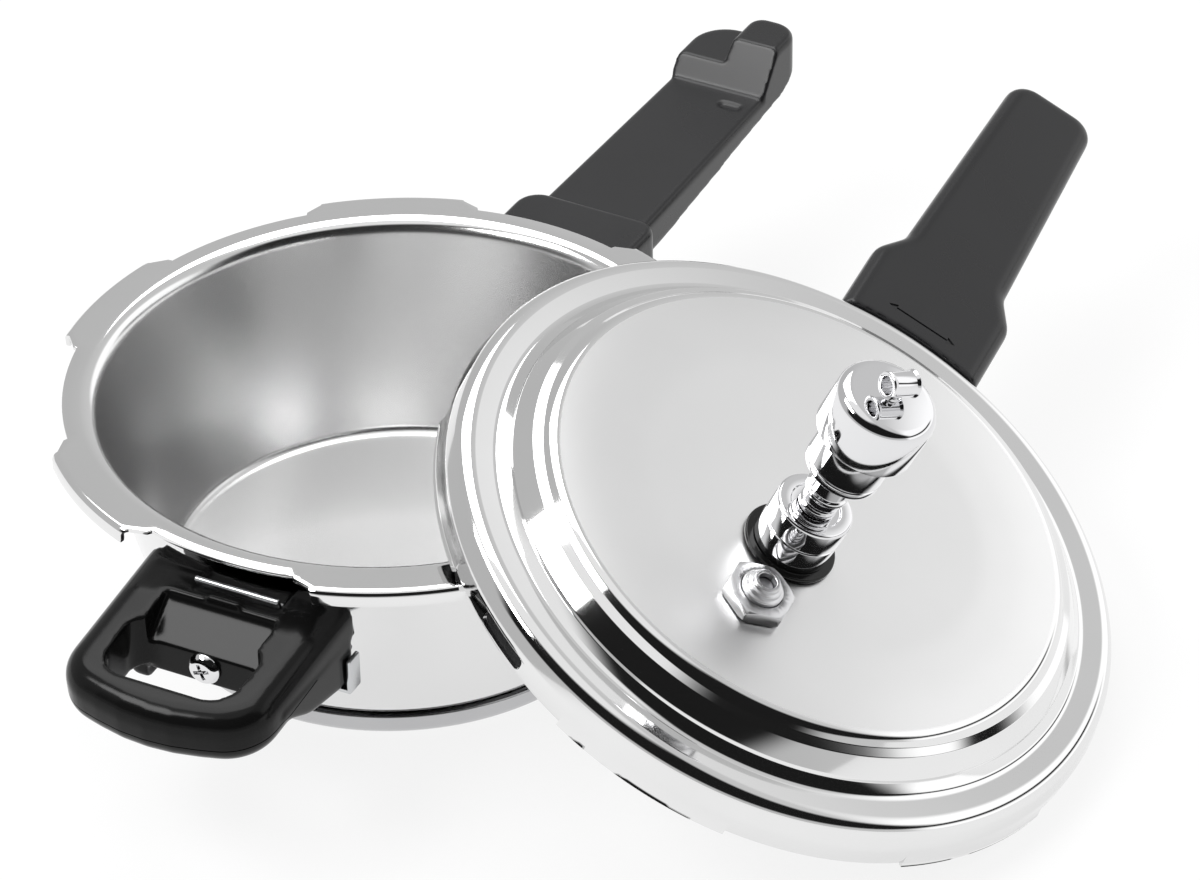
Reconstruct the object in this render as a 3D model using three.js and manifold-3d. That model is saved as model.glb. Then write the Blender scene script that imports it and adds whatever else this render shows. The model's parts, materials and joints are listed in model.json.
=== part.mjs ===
// Pressure pan with an outer bayonet lid. The lid is off and leans on the pan's rim and on the table.
// Millimetres, +Z up. The origin is the centre of the pan's base on the table, +X runs along the long handle.
import * as THREE from 'three';
import { mergeVertices } from 'three/addons/utils/BufferGeometryUtils.js';
import Module from 'manifold-3d';

const wasm = await Module();
wasm.setup();

// Fits and facets
const FIT = 0.3;               // gap between pieces that touch
const OVERCUT = 1;             // how far a cutter runs past the face it cuts
const ROUND_FACETS = 48;       // facets round the pan and the lid
const SMALL_FACETS = 16;       // facets round a valve piece or a screw
const ARC_STEP = 0.64;         // largest turn of one facet on an arc, radians
const EDGE_FACETS = 2;         // facets across a rounded edge of a moulded piece

// Pan
const PAN_HEIGHT = 73;         // table to the top of the flange
const PAN_SHEET = 1.5;
const FLOOR_RADIUS = 69.3;     // outside of the wall at the floor
const FLOOR_CORNER = 5;
const MOUTH_RADIUS = 86;       // outside of the wall at the flange
const MOUTH_CORNER = 6;
const FLANGE_RADIUS = 93.5;    // flange between two lugs

// Bayonet lugs, alike in number and pitch on pan and lid
const LUG_COUNT = 6;
const PAN_LUG_RADIUS = 99.4;
const PAN_LUG_LIP = 4.8;       // turned-down edge of a lug
const PAN_LUG_BEND = 2;
const PAN_LUG_HALF_ANGLE = 12; // degrees, at the outer edge
const PAN_LUG_RAMP_ANGLE = 4;  // degrees, the sloped end of a lug
const LID_LUG_HALF_ANGLE = 15; // degrees
const LID_LUG_DEPTH = 7;       // how far a lug of the lid turns in under the pan's lug

// Sandwich base
const CAP_SHEET = 1;
const CAP_STEP = 0.2;          // foot of the cap beyond the pan's floor
const CAP_CORNER = 5;
const CAP_LEAN = 1.7;          // how much wider the cap is at its rim than at its foot
const CAP_OVERLAP = 2;         // how far the cap's rim stands above the pan's floor
const CORE_THICKNESS = 4.6;

// Lid
const LID_SHEET = 1.2;
const LID_CLEARANCE = 0.9;     // between the pan's lugs and the lid's skirt
const SKIRT_DEPTH = 14;        // below the top of the ring
const SKIRT_FLARE = 1.4;       // the skirt spreads between two lugs
const FLARE_HEIGHT = 4.5;
const SHOULDER_CORNER = 3;
const RING_FALL = 0.9;         // the ring slopes down outwards
const DOME_FOOT_RADIUS = 86.5;
const DOME_WALL_LEAN = 1.5;
const DOME_CORNER = 2.5;
const LEDGE_HEIGHT = 10.6;
const LEDGE_WIDTH = 6;
const LEDGE_CORNER = 5;
const CROWN_LEAN = 2.4;
const CROWN_CORNER = 2.6;
const DOME_HEIGHT = 13.4;
const SLOT_ANGLE = 150;        // degrees from the lid handle, in the middle of a lug
const SLOT_LENGTH = 18;
const SLOT_HEIGHT = 4.4;
const SLOT_ABOVE_EDGE = 1.8;   // material between the slot and the skirt's lower edge

// Gasket
const GASKET_WIDTH = 11;
const GASKET_THICKNESS = 4;
const GASKET_LIP = 1.3;
const GASKET_LIP_WIDTH = 4;
const GASKET_CHAMFER = 4;

// How the lid leans
const LEAN_AZIMUTH = -87.5;    // degrees, towards the lid's lowest point
const LEAN_CONTACT = 0.5842;   // up the slope to where the lid lies on the rim, as a share of its radius
const LID_HANDLE_TURN = 93.7;  // degrees from the lid's lowest point to its handle

// Vent, its weight and the safety plug
const VENT_OFFSET = 20;        // from the lid's centre, away from the handle
const VENT_THREAD_RADIUS = 5;
const VENT_NECK_RADIUS = 5.6;
const VENT_BORE_RADIUS = 1.6;
const VENT_RING_RADIUS = 6.4;
const VENT_RING_HEIGHT = 2;
const VENT_TIP_TAPER = 2.4;
const VENT_BELOW = 12;         // tube below the top of the lid
const NUT_ACROSS_FLATS = 17;
const NUT_THICKNESS = 4.5;
const WASHER_RADIUS = 13.5;
const WASHER_THICKNESS = 1.5;
const COLLAR_RADIUS = 11.2;
const COLLAR_HEIGHT = 16;
const GROOVE_DEPTH = 0.6;
const GROOVE_WIDTH = 0.8;
const NECK_SHOWING = 16;       // between collar and weight
const WEIGHT_RADIUS = 11;
const WEIGHT_HEIGHT = 14;
const WEIGHT_BORE_RADIUS = 6.8;
const WEIGHT_SEAT = 5;         // how far the tube's tip stands inside the weight
const SPIGOT_RADIUS = 9;
const SPIGOT_HEIGHT = 11;
const PIN_RADIUS = 2;
const PIN_NOSE_RADIUS = 0.6;
const PIN_NOSE_LENGTH = 1.6;
const PIN_LENGTH = 18;
const WEIGHT_CAP_RADIUS = 14.4;
const WEIGHT_CAP_HEIGHT = 16.6;
const WEIGHT_CAP_CORNER = 3.5;
const EYE_RADIUS = 4;
const EYE_WAIST_RADIUS = 3.5;
const EYE_BORE_RADIUS = 2.5;
const EYE_LENGTH = 9;
const EYE_FOOT_RADIUS = 1.8;
const EYE_FOOT_HEIGHT = 1;
const EYE_TURN = -40;          // degrees from the lid handle
const PLUG_OFFSET = 45;        // from the lid's centre, away from the handle
const PLUG_THREAD_RADIUS = 6;
const PLUG_BORE_RADIUS = 2.6;
const PLUG_STEPS = 3;          // stepped end of the stud above its nut
const PLUG_STEP_HEIGHT = 1.4;
const PLUG_STEP_IN = 1;
const PLUG_FLANGE_RADIUS = 9;
const PLUG_FLANGE_THICKNESS = 2.5;
const PLUG_WASHER_THICKNESS = 1.5;
const PLUG_NUT_ACROSS_FLATS = 18;
const PLUG_NUT_THICKNESS = 4;
const INSERT_SUNK = 2;         // the alloy stays below the stud's mouth

// Brackets and screws
const BRACKET_SHEET = 1.5;
const TONGUE_THICKNESS = 2;
const TONGUE_HALF_WIDTH = 8;
const SCREW_RADIUS = 2;
const SCREW_HEAD_RADIUS = 4.4;
const SCREW_HEAD_HEIGHT = 2.4;

// Main handle
const MAIN_BLOCK_DROP = 4.2;   // block at the pan below the pan's lugs
const MAIN_BLOCK_RISE = 3;     // block at the pan above the grip
const MAIN_BLOCK_DEPTH = 23;
const MAIN_BLOCK_END = 121;    // from the pan's axis
const MAIN_BLOCK_HALF_WIDTH = 22.8;
const MAIN_THICKNESS = 12;     // grip at the block
const MAIN_TIP_THICKNESS = 5;  // grip at the nose
const MAIN_END = 229;          // from the pan's axis
const MAIN_GRIP_HALF_WIDTH = 18;
const MAIN_END_HALF_WIDTH = 16.5;
const MAIN_NOSE_LENGTH = 23;
const MAIN_NOSE_RISE = 6.5;
const MAIN_HOOK_LENGTH = 20;
const MAIN_HOOK_RISE = 13;
const MAIN_SWEEP_LENGTH = 14;  // underside that curves up at the end
const MAIN_EDGE = 2.2;
const MAIN_WALL = 3.5;         // wall round the hollow underside
const MAIN_BRACKET_HALF_WIDTH = 14;
const MAIN_BRACKET_HEIGHT = 14;
const MAIN_TONGUE_REACH = 42;  // beyond the wall
const MAIN_SCREW_REACH = 27;   // beyond the wall

// Helper handle
const HELPER_ANGLE = 182.3;    // degrees from the main handle
const HELPER_DROP = 5.2;       // top of the loop at the pan below the pan's lugs
const HELPER_THICKNESS = 15;
const HELPER_SLOPE = 5;        // degrees, the loop slopes down outwards
const HELPER_END = 141;        // front of the loop from the pan's axis
const HELPER_ROOT_HALF_WIDTH = 32;
const HELPER_FRONT_HALF_WIDTH = 30.5;
const HELPER_BAR = 11;         // front bar and side bars
const HELPER_CORNER = 14;
const HELPER_EDGE = 4;
const HELPER_BLOCK_END = 109;  // rear wall of the finger opening
const HELPER_BLOCK_HEIGHT = 26;
const HELPER_SCOOP = 11;       // the opening's rear wall slopes back towards the pan
const HELPER_SCOOP_DEPTH = 11.5;
const HELPER_CLIP_HALF_WIDTH = 13;
const HELPER_CLIP_SUNK = 1.5;  // spring clip in the top of the handle
const HELPER_CLIP_LIP = 4;
const HELPER_STRAP_HEIGHT = 12;
const HELPER_STRAP_DROP = 2.5; // strap below the handle
const HELPER_ARM_REACH = 11;   // strap ends that hold the handle's sides, beyond the wall
const HELPER_STEM_HALF_WIDTH = 8;
const HELPER_STEM_HALF_HEIGHT = 4;
const HELPER_STEM_REACH = 11;  // beyond the wall
const HELPER_SCREW_BITE = 5;   // thread inside the stem

// Lid handle
const LID_HANDLE_TOP = -1.4;   // against the top of the lid's ring
const LID_HANDLE_THICKNESS = 12;
const LID_HANDLE_END = 233;    // from the lid's axis
const LID_HANDLE_FLARE_HALF_WIDTH = 23.5;
const LID_HANDLE_FLARE_END = 129;
const LID_HANDLE_S_LENGTH = 11;
const LID_HANDLE_GRIP_HALF_WIDTH = 17.5;
const LID_HANDLE_END_HALF_WIDTH = 14.6;
const LID_HANDLE_CORNER = 6;
const LID_HANDLE_SWEEP = 10;   // radius of the S between flare and grip
const LID_HANDLE_EDGE = 2.6;
const LID_HANDLE_WALL = 3;
const LID_BRACKET_HALF_WIDTH = 16;
const LID_BRACKET_HEIGHT = 4;
const LID_TONGUE_REACH = 48;   // beyond the skirt
const LID_SCREW_REACH = [22, 39];

// Finishes
const STEEL = { color: 0xd9dadb, roughness: 0.12, metalness: 1 };
const PLATED = { color: 0xcfd1d3, roughness: 0.1, metalness: 1 };
const ALUMINIUM = { color: 0xb9bbbe, roughness: 0.4, metalness: 1 };
const PHENOLIC = { color: 0x1b1b1c, roughness: 0.35, metalness: 0 };
const RUBBER = { color: 0x1f2023, roughness: 0.7, metalness: 0 };
const ALLOY = { color: 0x6f7072, roughness: 0.55, metalness: 1 };

const degrees = THREE.MathUtils.degToRad;
const lugPitch = 2 * Math.PI / LUG_COUNT;

// Corners [x, y, radius] become a line of points, with an arc at every corner that has a radius.
function rounded(corners, closed) {
  const at = (i) => new THREE.Vector2(...corners[(i + corners.length) % corners.length]);
  return corners.flatMap(([, , radius], i) => {
    const corner = at(i);
    const isEnd = !closed && (i === 0 || i === corners.length - 1);
    if (!radius || isEnd) return [corner];
    const back = at(i - 1).sub(corner);
    const ahead = at(i + 1).sub(corner);
    const half = back.angleTo(ahead) / 2;
    const room = 0.49 * Math.min(back.length(), ahead.length());
    const reach = Math.min(radius / Math.tan(half), room);
    const bend = reach * Math.tan(half);
    back.normalize();
    ahead.normalize();
    const centre = back.clone().add(ahead).setLength(bend / Math.sin(half)).add(corner);
    const start = back.clone().multiplyScalar(reach).add(corner);
    const sweep = -Math.sign(back.cross(ahead)) * (Math.PI - 2 * half);
    const steps = Math.ceil(Math.abs(sweep) / ARC_STEP);
    return Array.from({ length: steps + 1 }, (_, k) => (
      start.clone().rotateAround(centre, sweep * k / steps)));
  });
}

// A sheet's section: the line of corners and its parallel, on the left of the way for a positive thickness.
function sheet(corners, thickness) {
  const face = rounded(corners, false);
  const normals = face.slice(1).map((point, i) => {
    const way = point.clone().sub(face[i]).normalize();
    return new THREE.Vector2(-way.y, way.x);
  });
  const parallel = face.map((point, i) => {
    const before = normals[Math.max(i - 1, 0)];
    const after = normals[Math.min(i, normals.length - 1)];
    const middle = before.clone().add(after).normalize();
    const moved = middle.clone().multiplyScalar(thickness / middle.dot(before)).add(point);
    if (point.x === 0) moved.x = 0;
    return moved;
  });
  return [...face, ...parallel.reverse()];
}

// A closed solid from a geometry whose faces may all point the wrong way.
function solidOf(geometry) {
  geometry.deleteAttribute('normal');
  geometry.deleteAttribute('uv');
  const merged = mergeVertices(geometry, 1e-4);
  const place = (i) => new THREE.Vector3().fromBufferAttribute(merged.attributes.position, i);
  const corners = merged.index.array;
  const triangles = [];
  let volume = 0;
  for (let i = 0; i < corners.length; i += 3) {
    const [a, b, c] = corners.slice(i, i + 3);
    if (a === b || b === c || c === a) continue;
    triangles.push([a, b, c]);
    volume += place(a).dot(place(b).cross(place(c)));
  }
  const triVerts = Uint32Array.from(triangles.flatMap((t) => (volume > 0 ? t : t.reverse())));
  const vertProperties = Float32Array.from(merged.attributes.position.array);
  return new wasm.Manifold(new wasm.Mesh({ numProp: 3, vertProperties, triVerts }));
}

// A section in (radius, height), turned round the Z axis.
function turned(section, facets) {
  const points = section.map((p) => new THREE.Vector2(p.x ?? p[0], p.y ?? p[1]));
  const [first, last] = [points[0], points[points.length - 1]];
  if (first.x > 0 || last.x > 0) points.push(first.clone());
  return solidOf(new THREE.LatheGeometry(points, facets).rotateX(Math.PI / 2));
}

function post(radius, low, high, facets = SMALL_FACETS) {
  return turned([[0, low], [radius, low], [radius, high], [0, high]], facets);
}

function ring(inner, outer, low, high, facets) {
  return turned([[inner, low], [outer, low], [outer, high], [inner, high]], facets);
}

// An outline in plan, raised from low to high, with rounded edges above and below.
function slab(outline, low, high, edge = 0) {
  const depth = high - low - 2 * edge;
  const geometry = new THREE.ExtrudeGeometry(new THREE.Shape(outline), {
    depth,
    bevelEnabled: edge > 0,
    bevelThickness: edge,
    bevelSize: edge,
    bevelOffset: -edge,
    bevelSegments: EDGE_FACETS,
  });
  return solidOf(geometry.translate(0, 0, low + edge));
}

function box(xLow, xHigh, halfWidth, low, high) {
  const geometry = new THREE.BoxGeometry(xHigh - xLow, 2 * halfWidth, high - low);
  return solidOf(geometry.translate((xLow + xHigh) / 2, 0, (low + high) / 2));
}

// An outline in (x, z), as thick as twice the half width along Y.
function sidePlate(outline, halfWidth) {
  const options = { depth: 2 * halfWidth, bevelEnabled: false };
  const geometry = new THREE.ExtrudeGeometry(new THREE.Shape(outline), options);
  return solidOf(geometry.rotateX(Math.PI / 2).translate(0, halfWidth, 0));
}

function hexagon(acrossFlats) {
  const radius = acrossFlats / Math.sqrt(3);
  const turn = (i) => i * Math.PI / 3;
  return Array.from({ length: 6 }, (_, i) => (
    new THREE.Vector2(radius * Math.cos(turn(i)), radius * Math.sin(turn(i)))));
}

// Pie pieces, one for each lug or each gap, whose ends may slope between the inner and the outer radius.
function sectors(phase, inner, outer, innerHalf, outerHalf, low, high) {
  const corner = (radius, angle) => new THREE.Vector2(radius * Math.cos(angle), radius * Math.sin(angle));
  const pieces = Array.from({ length: LUG_COUNT }, (_, i) => {
    const middle = phase + i * lugPitch;
    return slab([
      corner(inner, middle - innerHalf),
      corner(outer, middle - outerHalf),
      corner(outer, middle + outerHalf),
      corner(inner, middle + innerHalf),
    ], low, high);
  });
  return pieces.reduce((all, piece) => all.add(piece));
}

function node(name, solid, finish, parent) {
  const { vertProperties, triVerts } = solid.getMesh();
  const geometry = new THREE.BufferGeometry();
  geometry.setAttribute('position', new THREE.BufferAttribute(vertProperties, 3));
  geometry.setIndex(new THREE.BufferAttribute(triVerts, 1));
  geometry.computeVertexNormals();
  const mesh = new THREE.Mesh(geometry, new THREE.MeshStandardMaterial(finish));
  mesh.name = name;
  parent.add(mesh);
  return mesh;
}

// Sizes that follow from the driving ones
const floorLow = CAP_SHEET + FIT + CORE_THICKNESS + FIT;
const capFootRadius = FLOOR_RADIUS + CAP_STEP;
const flangeLow = PAN_HEIGHT - PAN_SHEET;
const lugPhase = lugPitch / 2;
const panLugHalf = degrees(PAN_LUG_HALF_ANGLE);
const panLugRootHalf = degrees(PAN_LUG_HALF_ANGLE + PAN_LUG_RAMP_ANGLE);
const lidLugHalf = degrees(LID_LUG_HALF_ANGLE);
const lidRadius = PAN_LUG_RADIUS + LID_CLEARANCE + LID_SHEET;
const lidLugRadius = lidRadius - LID_LUG_DEPTH;
const shoulderHeight = -RING_FALL;
const bracketSkin = 2 * FIT + BRACKET_SHEET;
const screwHole = SCREW_RADIUS + FIT;

// Outside radius of the pan's wall at a height
function wallRadius(height) {
  const share = (height - floorLow) / (flangeLow - floorLow);
  return FLOOR_RADIUS + share * (MOUTH_RADIUS - FLOOR_RADIUS);
}

// Everything nearer to the axis than the wall, the strap on it and the flange: what a handle keeps clear of
function panRoom() {
  const under = flangeLow - FIT;
  return turned([
    [0, -OVERCUT],
    [wallRadius(-OVERCUT) + bracketSkin, -OVERCUT],
    [wallRadius(under) + bracketSkin, under],
    [FLANGE_RADIUS + FIT, under],
    [FLANGE_RADIUS + FIT, PAN_HEIGHT + OVERCUT],
    [0, PAN_HEIGHT + OVERCUT],
  ], ROUND_FACETS);
}

function panBody() {
  const shell = turned(sheet([
    [0, floorLow],
    [FLOOR_RADIUS, floorLow, FLOOR_CORNER],
    [MOUTH_RADIUS, flangeLow, MOUTH_CORNER],
    [FLANGE_RADIUS, flangeLow],
  ], PAN_SHEET), ROUND_FACETS);
  const lugRoot = FLANGE_RADIUS - PAN_SHEET;
  const lugRing = turned(sheet([
    [lugRoot, PAN_HEIGHT],
    [PAN_LUG_RADIUS, PAN_HEIGHT, PAN_LUG_BEND],
    [PAN_LUG_RADIUS, PAN_HEIGHT - PAN_LUG_LIP],
  ], -PAN_SHEET), ROUND_FACETS);
  const beyond = (PAN_LUG_RADIUS + OVERCUT) / Math.cos(panLugHalf);
  const low = PAN_HEIGHT - PAN_LUG_LIP - OVERCUT;
  const high = PAN_HEIGHT + OVERCUT;
  const pieces = sectors(lugPhase, lugRoot - OVERCUT, beyond, panLugRootHalf, panLugHalf, low, high);
  return shell.add(lugRing.intersect(pieces));
}

function baseCap() {
  return turned(sheet([
    [0, 0],
    [capFootRadius, 0, CAP_CORNER],
    [capFootRadius + CAP_LEAN, floorLow + CAP_OVERLAP],
  ], CAP_SHEET), ROUND_FACETS);
}

function baseCore() {
  const radius = Math.min(capFootRadius - CAP_CORNER, FLOOR_RADIUS - FLOOR_CORNER);
  const low = CAP_SHEET + FIT;
  return post(radius, low, low + CORE_THICKNESS, ROUND_FACETS);
}

// A strap that follows the pan's wall
function wallStrap(halfWidth, low, high) {
  const inner = (height) => wallRadius(height) + FIT;
  const round = turned([
    [inner(low), low],
    [inner(low) + BRACKET_SHEET, low],
    [inner(high) + BRACKET_SHEET, high],
    [inner(high), high],
  ], ROUND_FACETS);
  return round.intersect(box(0, 2 * MOUTH_RADIUS, halfWidth, low - OVERCUT, high + OVERCUT));
}

const mainBlockTop = PAN_HEIGHT - PAN_LUG_LIP - MAIN_BLOCK_DROP;
const mainTop = mainBlockTop - MAIN_BLOCK_RISE;
const mainLow = mainTop - MAIN_THICKNESS;
const mainTongueTop = mainTop - MAIN_WALL - FIT;
const mainTongueLow = mainTongueTop - TONGUE_THICKNESS;
const mainWall = wallRadius(mainTongueLow);
const mainScrewX = mainWall + MAIN_SCREW_REACH;
const mainScrewTop = mainTop + MAIN_BLOCK_RISE / 2;

function mainBracket() {
  const middle = (mainTongueLow + mainTongueTop) / 2;
  const half = MAIN_BRACKET_HEIGHT / 2;
  const tongue = box(mainWall + FIT + BRACKET_SHEET / 2, mainWall + MAIN_TONGUE_REACH, TONGUE_HALF_WIDTH,
    mainTongueLow, mainTongueTop);
  const hole = post(screwHole, mainTongueLow - OVERCUT, mainTongueTop + OVERCUT)
    .translate([mainScrewX, 0, 0]);
  return wallStrap(MAIN_BRACKET_HALF_WIDTH, middle - half, middle + half).add(tongue).subtract(hole);
}

function mainHandle() {
  const blockLow = mainBlockTop - MAIN_BLOCK_DEPTH;
  const root = wallRadius(blockLow);
  const noseStart = MAIN_END - MAIN_NOSE_LENGTH;
  const hookStart = MAIN_END - MAIN_HOOK_LENGTH;
  const half = MAIN_END_HALF_WIDTH;
  const block = slab(rounded([
    [root, -MAIN_BLOCK_HALF_WIDTH],
    [MAIN_BLOCK_END, -MAIN_BLOCK_HALF_WIDTH, MAIN_BLOCK_RISE + MAIN_EDGE],
    [MAIN_BLOCK_END, MAIN_BLOCK_HALF_WIDTH, MAIN_BLOCK_RISE + MAIN_EDGE],
    [root, MAIN_BLOCK_HALF_WIDTH],
  ], true), blockLow, mainBlockTop, MAIN_EDGE);
  const grip = slab(rounded([
    [root, -MAIN_GRIP_HALF_WIDTH],
    [MAIN_BLOCK_END, -MAIN_GRIP_HALF_WIDTH],
    [MAIN_END, -half, half / 2],
    [MAIN_END, half, half / 2],
    [MAIN_BLOCK_END, MAIN_GRIP_HALF_WIDTH],
    [root, MAIN_GRIP_HALF_WIDTH],
  ], true), mainLow, mainTop, MAIN_EDGE);
  const nose = slab(rounded([
    [noseStart, -half],
    [MAIN_END, -half, half / 2],
    [MAIN_END, half, half / 2],
    [noseStart, half],
  ], true), mainLow, mainTop + MAIN_NOSE_RISE, MAIN_EDGE);
  const hook = slab(rounded([
    [hookStart, -half],
    [MAIN_END, -half, half / 2],
    [MAIN_END, 0, 2 * MAIN_EDGE],
    [hookStart, 0],
  ], true), mainLow, mainTop + MAIN_HOOK_RISE, MAIN_EDGE);
  const tipLow = mainTop - MAIN_TIP_THICKNESS;
  const sweepStart = MAIN_END - MAIN_SWEEP_LENGTH;
  const below = blockLow - OVERCUT;
  const underside = sidePlate([
    new THREE.Vector2(MAIN_BLOCK_END, below),
    new THREE.Vector2(MAIN_END + OVERCUT, below),
    new THREE.Vector2(MAIN_END + OVERCUT, mainTop + MAIN_NOSE_RISE / 2),
    new THREE.Vector2(sweepStart + MAIN_SWEEP_LENGTH / 2, mainTop - MAIN_TIP_THICKNESS / 2),
    new THREE.Vector2(sweepStart, tipLow),
    new THREE.Vector2(MAIN_BLOCK_END, mainLow),
  ], MAIN_GRIP_HALF_WIDTH + OVERCUT).subtract(block);
  const roof = mainTop - MAIN_WALL;
  const hollowHalf = half - MAIN_WALL;
  const hollowStart = mainWall + bracketSkin + MAIN_WALL;
  const hollowEnd = noseStart - MAIN_NOSE_LENGTH;
  const hollow = slab(rounded([
    [hollowStart, -hollowHalf],
    [hollowEnd, -hollowHalf, MAIN_WALL],
    [hollowEnd, hollowHalf, MAIN_WALL],
    [hollowStart, hollowHalf],
  ], true), below, roof);
  const slot = box(root, mainWall + MAIN_TONGUE_REACH, TONGUE_HALF_WIDTH + FIT, mainTongueLow - FIT, roof);
  const screw = post(screwHole, below, mainScrewTop + FIT).translate([mainScrewX, 0, 0]);
  return block.add(grip).add(nose).add(hook)
    .subtract(underside).subtract(panRoom()).subtract(hollow).subtract(slot).subtract(screw);
}

// A pan-head screw along +Z: the head's underside is at the origin
function panHeadScrew(length) {
  return turned([
    ...rounded([[0, -SCREW_HEAD_HEIGHT], [SCREW_HEAD_RADIUS, -SCREW_HEAD_HEIGHT, SCREW_HEAD_HEIGHT / 2],
      [SCREW_HEAD_RADIUS, 0]], false),
    [SCREW_RADIUS, 0],
    [SCREW_RADIUS, length],
    [0, length],
  ], SMALL_FACETS);
}

// The helper handle is drawn along +X and stands opposite the main handle
const helperTop = PAN_HEIGHT - PAN_LUG_LIP - HELPER_DROP;
const helperLow = helperTop - HELPER_BLOCK_HEIGHT;
const helperStemHeight = helperTop - HELPER_SCOOP_DEPTH - HELPER_STEM_HALF_HEIGHT;
const helperWall = wallRadius(helperStemHeight);
const helperClipLow = helperTop - HELPER_CLIP_SUNK;
const helperClipEnd = FLANGE_RADIUS + FIT + BRACKET_SHEET;
const helperStrapLow = helperLow - HELPER_STRAP_DROP;

function helperHandle() {
  const root = wallRadius(helperLow);
  const barStart = HELPER_END - HELPER_BAR;
  const outline = rounded([
    [root, -HELPER_ROOT_HALF_WIDTH],
    [HELPER_END, -HELPER_FRONT_HALF_WIDTH, HELPER_CORNER],
    [HELPER_END, HELPER_FRONT_HALF_WIDTH, HELPER_CORNER],
    [root, HELPER_ROOT_HALF_WIDTH],
  ], true);
  const hinge = [root, 0, helperTop];
  const loop = slab(outline, helperTop - HELPER_THICKNESS, helperTop, HELPER_EDGE)
    .translate(hinge.map((v) => -v)).rotate([0, HELPER_SLOPE, 0]).translate(hinge);
  const openRear = HELPER_ROOT_HALF_WIDTH - HELPER_BAR;
  const openFront = HELPER_FRONT_HALF_WIDTH - HELPER_BAR;
  const corner = HELPER_CORNER / 2;
  const opening = slab(rounded([
    [HELPER_BLOCK_END, -openRear, corner],
    [barStart, -openFront, corner],
    [barStart, openFront, corner],
    [HELPER_BLOCK_END, openRear, corner],
  ], true), helperLow - HELPER_BLOCK_HEIGHT, helperTop + HELPER_BLOCK_HEIGHT);
  const block = slab(rounded([
    [root, -HELPER_ROOT_HALF_WIDTH],
    [HELPER_BLOCK_END, -openRear - HELPER_EDGE, HELPER_EDGE],
    [HELPER_BLOCK_END, openRear + HELPER_EDGE, HELPER_EDGE],
    [root, HELPER_ROOT_HALF_WIDTH],
  ], true), helperLow, helperTop - HELPER_SCOOP_DEPTH, HELPER_EDGE / 2);
  const past = helperTop + HELPER_EDGE;
  const scoop = sidePlate([
    new THREE.Vector2(HELPER_BLOCK_END - HELPER_SCOOP, past),
    new THREE.Vector2(HELPER_BLOCK_END - HELPER_SCOOP, helperTop - HELPER_EDGE),
    new THREE.Vector2(HELPER_BLOCK_END, helperTop - HELPER_SCOOP_DEPTH),
    new THREE.Vector2(HELPER_BLOCK_END + corner, helperTop - HELPER_SCOOP_DEPTH),
    new THREE.Vector2(HELPER_BLOCK_END + corner, past),
  ], openRear);
  const notch = box(root, helperClipEnd + FIT, HELPER_CLIP_HALF_WIDTH + FIT,
    helperClipLow - FIT, past);
  const pocket = box(root, helperWall + HELPER_STEM_REACH + FIT, HELPER_STEM_HALF_WIDTH + FIT,
    helperStemHeight - HELPER_STEM_HALF_HEIGHT - FIT, helperStemHeight + HELPER_STEM_HALF_HEIGHT + FIT);
  const hole = post(screwHole, helperWall, HELPER_BLOCK_END + OVERCUT).rotate([0, 90, 0])
    .translate([0, 0, helperStemHeight]);
  const cutters = [opening, scoop, panRoom(), notch, pocket, hole];
  return cutters.reduce((solid, cutter) => solid.subtract(cutter), loop.add(block));
}

function helperBracket() {
  const strapHigh = helperStrapLow + HELPER_STRAP_HEIGHT;
  const armInner = HELPER_ROOT_HALF_WIDTH + FIT;
  const armOuter = armInner + BRACKET_SHEET;
  const strap = wallStrap(armOuter, helperStrapLow, strapHigh);
  const armStart = Math.sqrt(wallRadius(helperStrapLow) ** 2 - armInner ** 2);
  const arms = box(armStart, wallRadius(helperLow) + HELPER_ARM_REACH, armOuter, helperStrapLow, strapHigh)
    .subtract(box(0, HELPER_END, armInner, 0, PAN_HEIGHT))
    .subtract(panRoom().translate([-FIT - BRACKET_SHEET / 2, 0, 0]));
  const start = helperWall + FIT + BRACKET_SHEET / 2;
  const stemLow = helperStemHeight - HELPER_STEM_HALF_HEIGHT;
  const stem = box(start, helperWall + HELPER_STEM_REACH, HELPER_STEM_HALF_WIDTH,
    stemLow, helperStemHeight + HELPER_STEM_HALF_HEIGHT);
  const hole = post(screwHole, start + BRACKET_SHEET, HELPER_BLOCK_END).rotate([0, 90, 0])
    .translate([0, 0, helperStemHeight]);
  const clipTop = helperClipLow + BRACKET_SHEET;
  const riser = wallStrap(HELPER_CLIP_HALF_WIDTH, helperStrapLow, clipTop);
  const clipStart = wallRadius(helperClipLow) + FIT + BRACKET_SHEET / 2;
  const clip = box(clipStart, helperClipEnd, HELPER_CLIP_HALF_WIDTH, helperClipLow, clipTop);
  const lip = box(helperClipEnd - BRACKET_SHEET, helperClipEnd, HELPER_CLIP_HALF_WIDTH,
    helperClipLow, helperClipLow + HELPER_CLIP_LIP);
  return strap.add(arms).add(stem).add(riser).add(clip).add(lip).subtract(hole);
}

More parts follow.
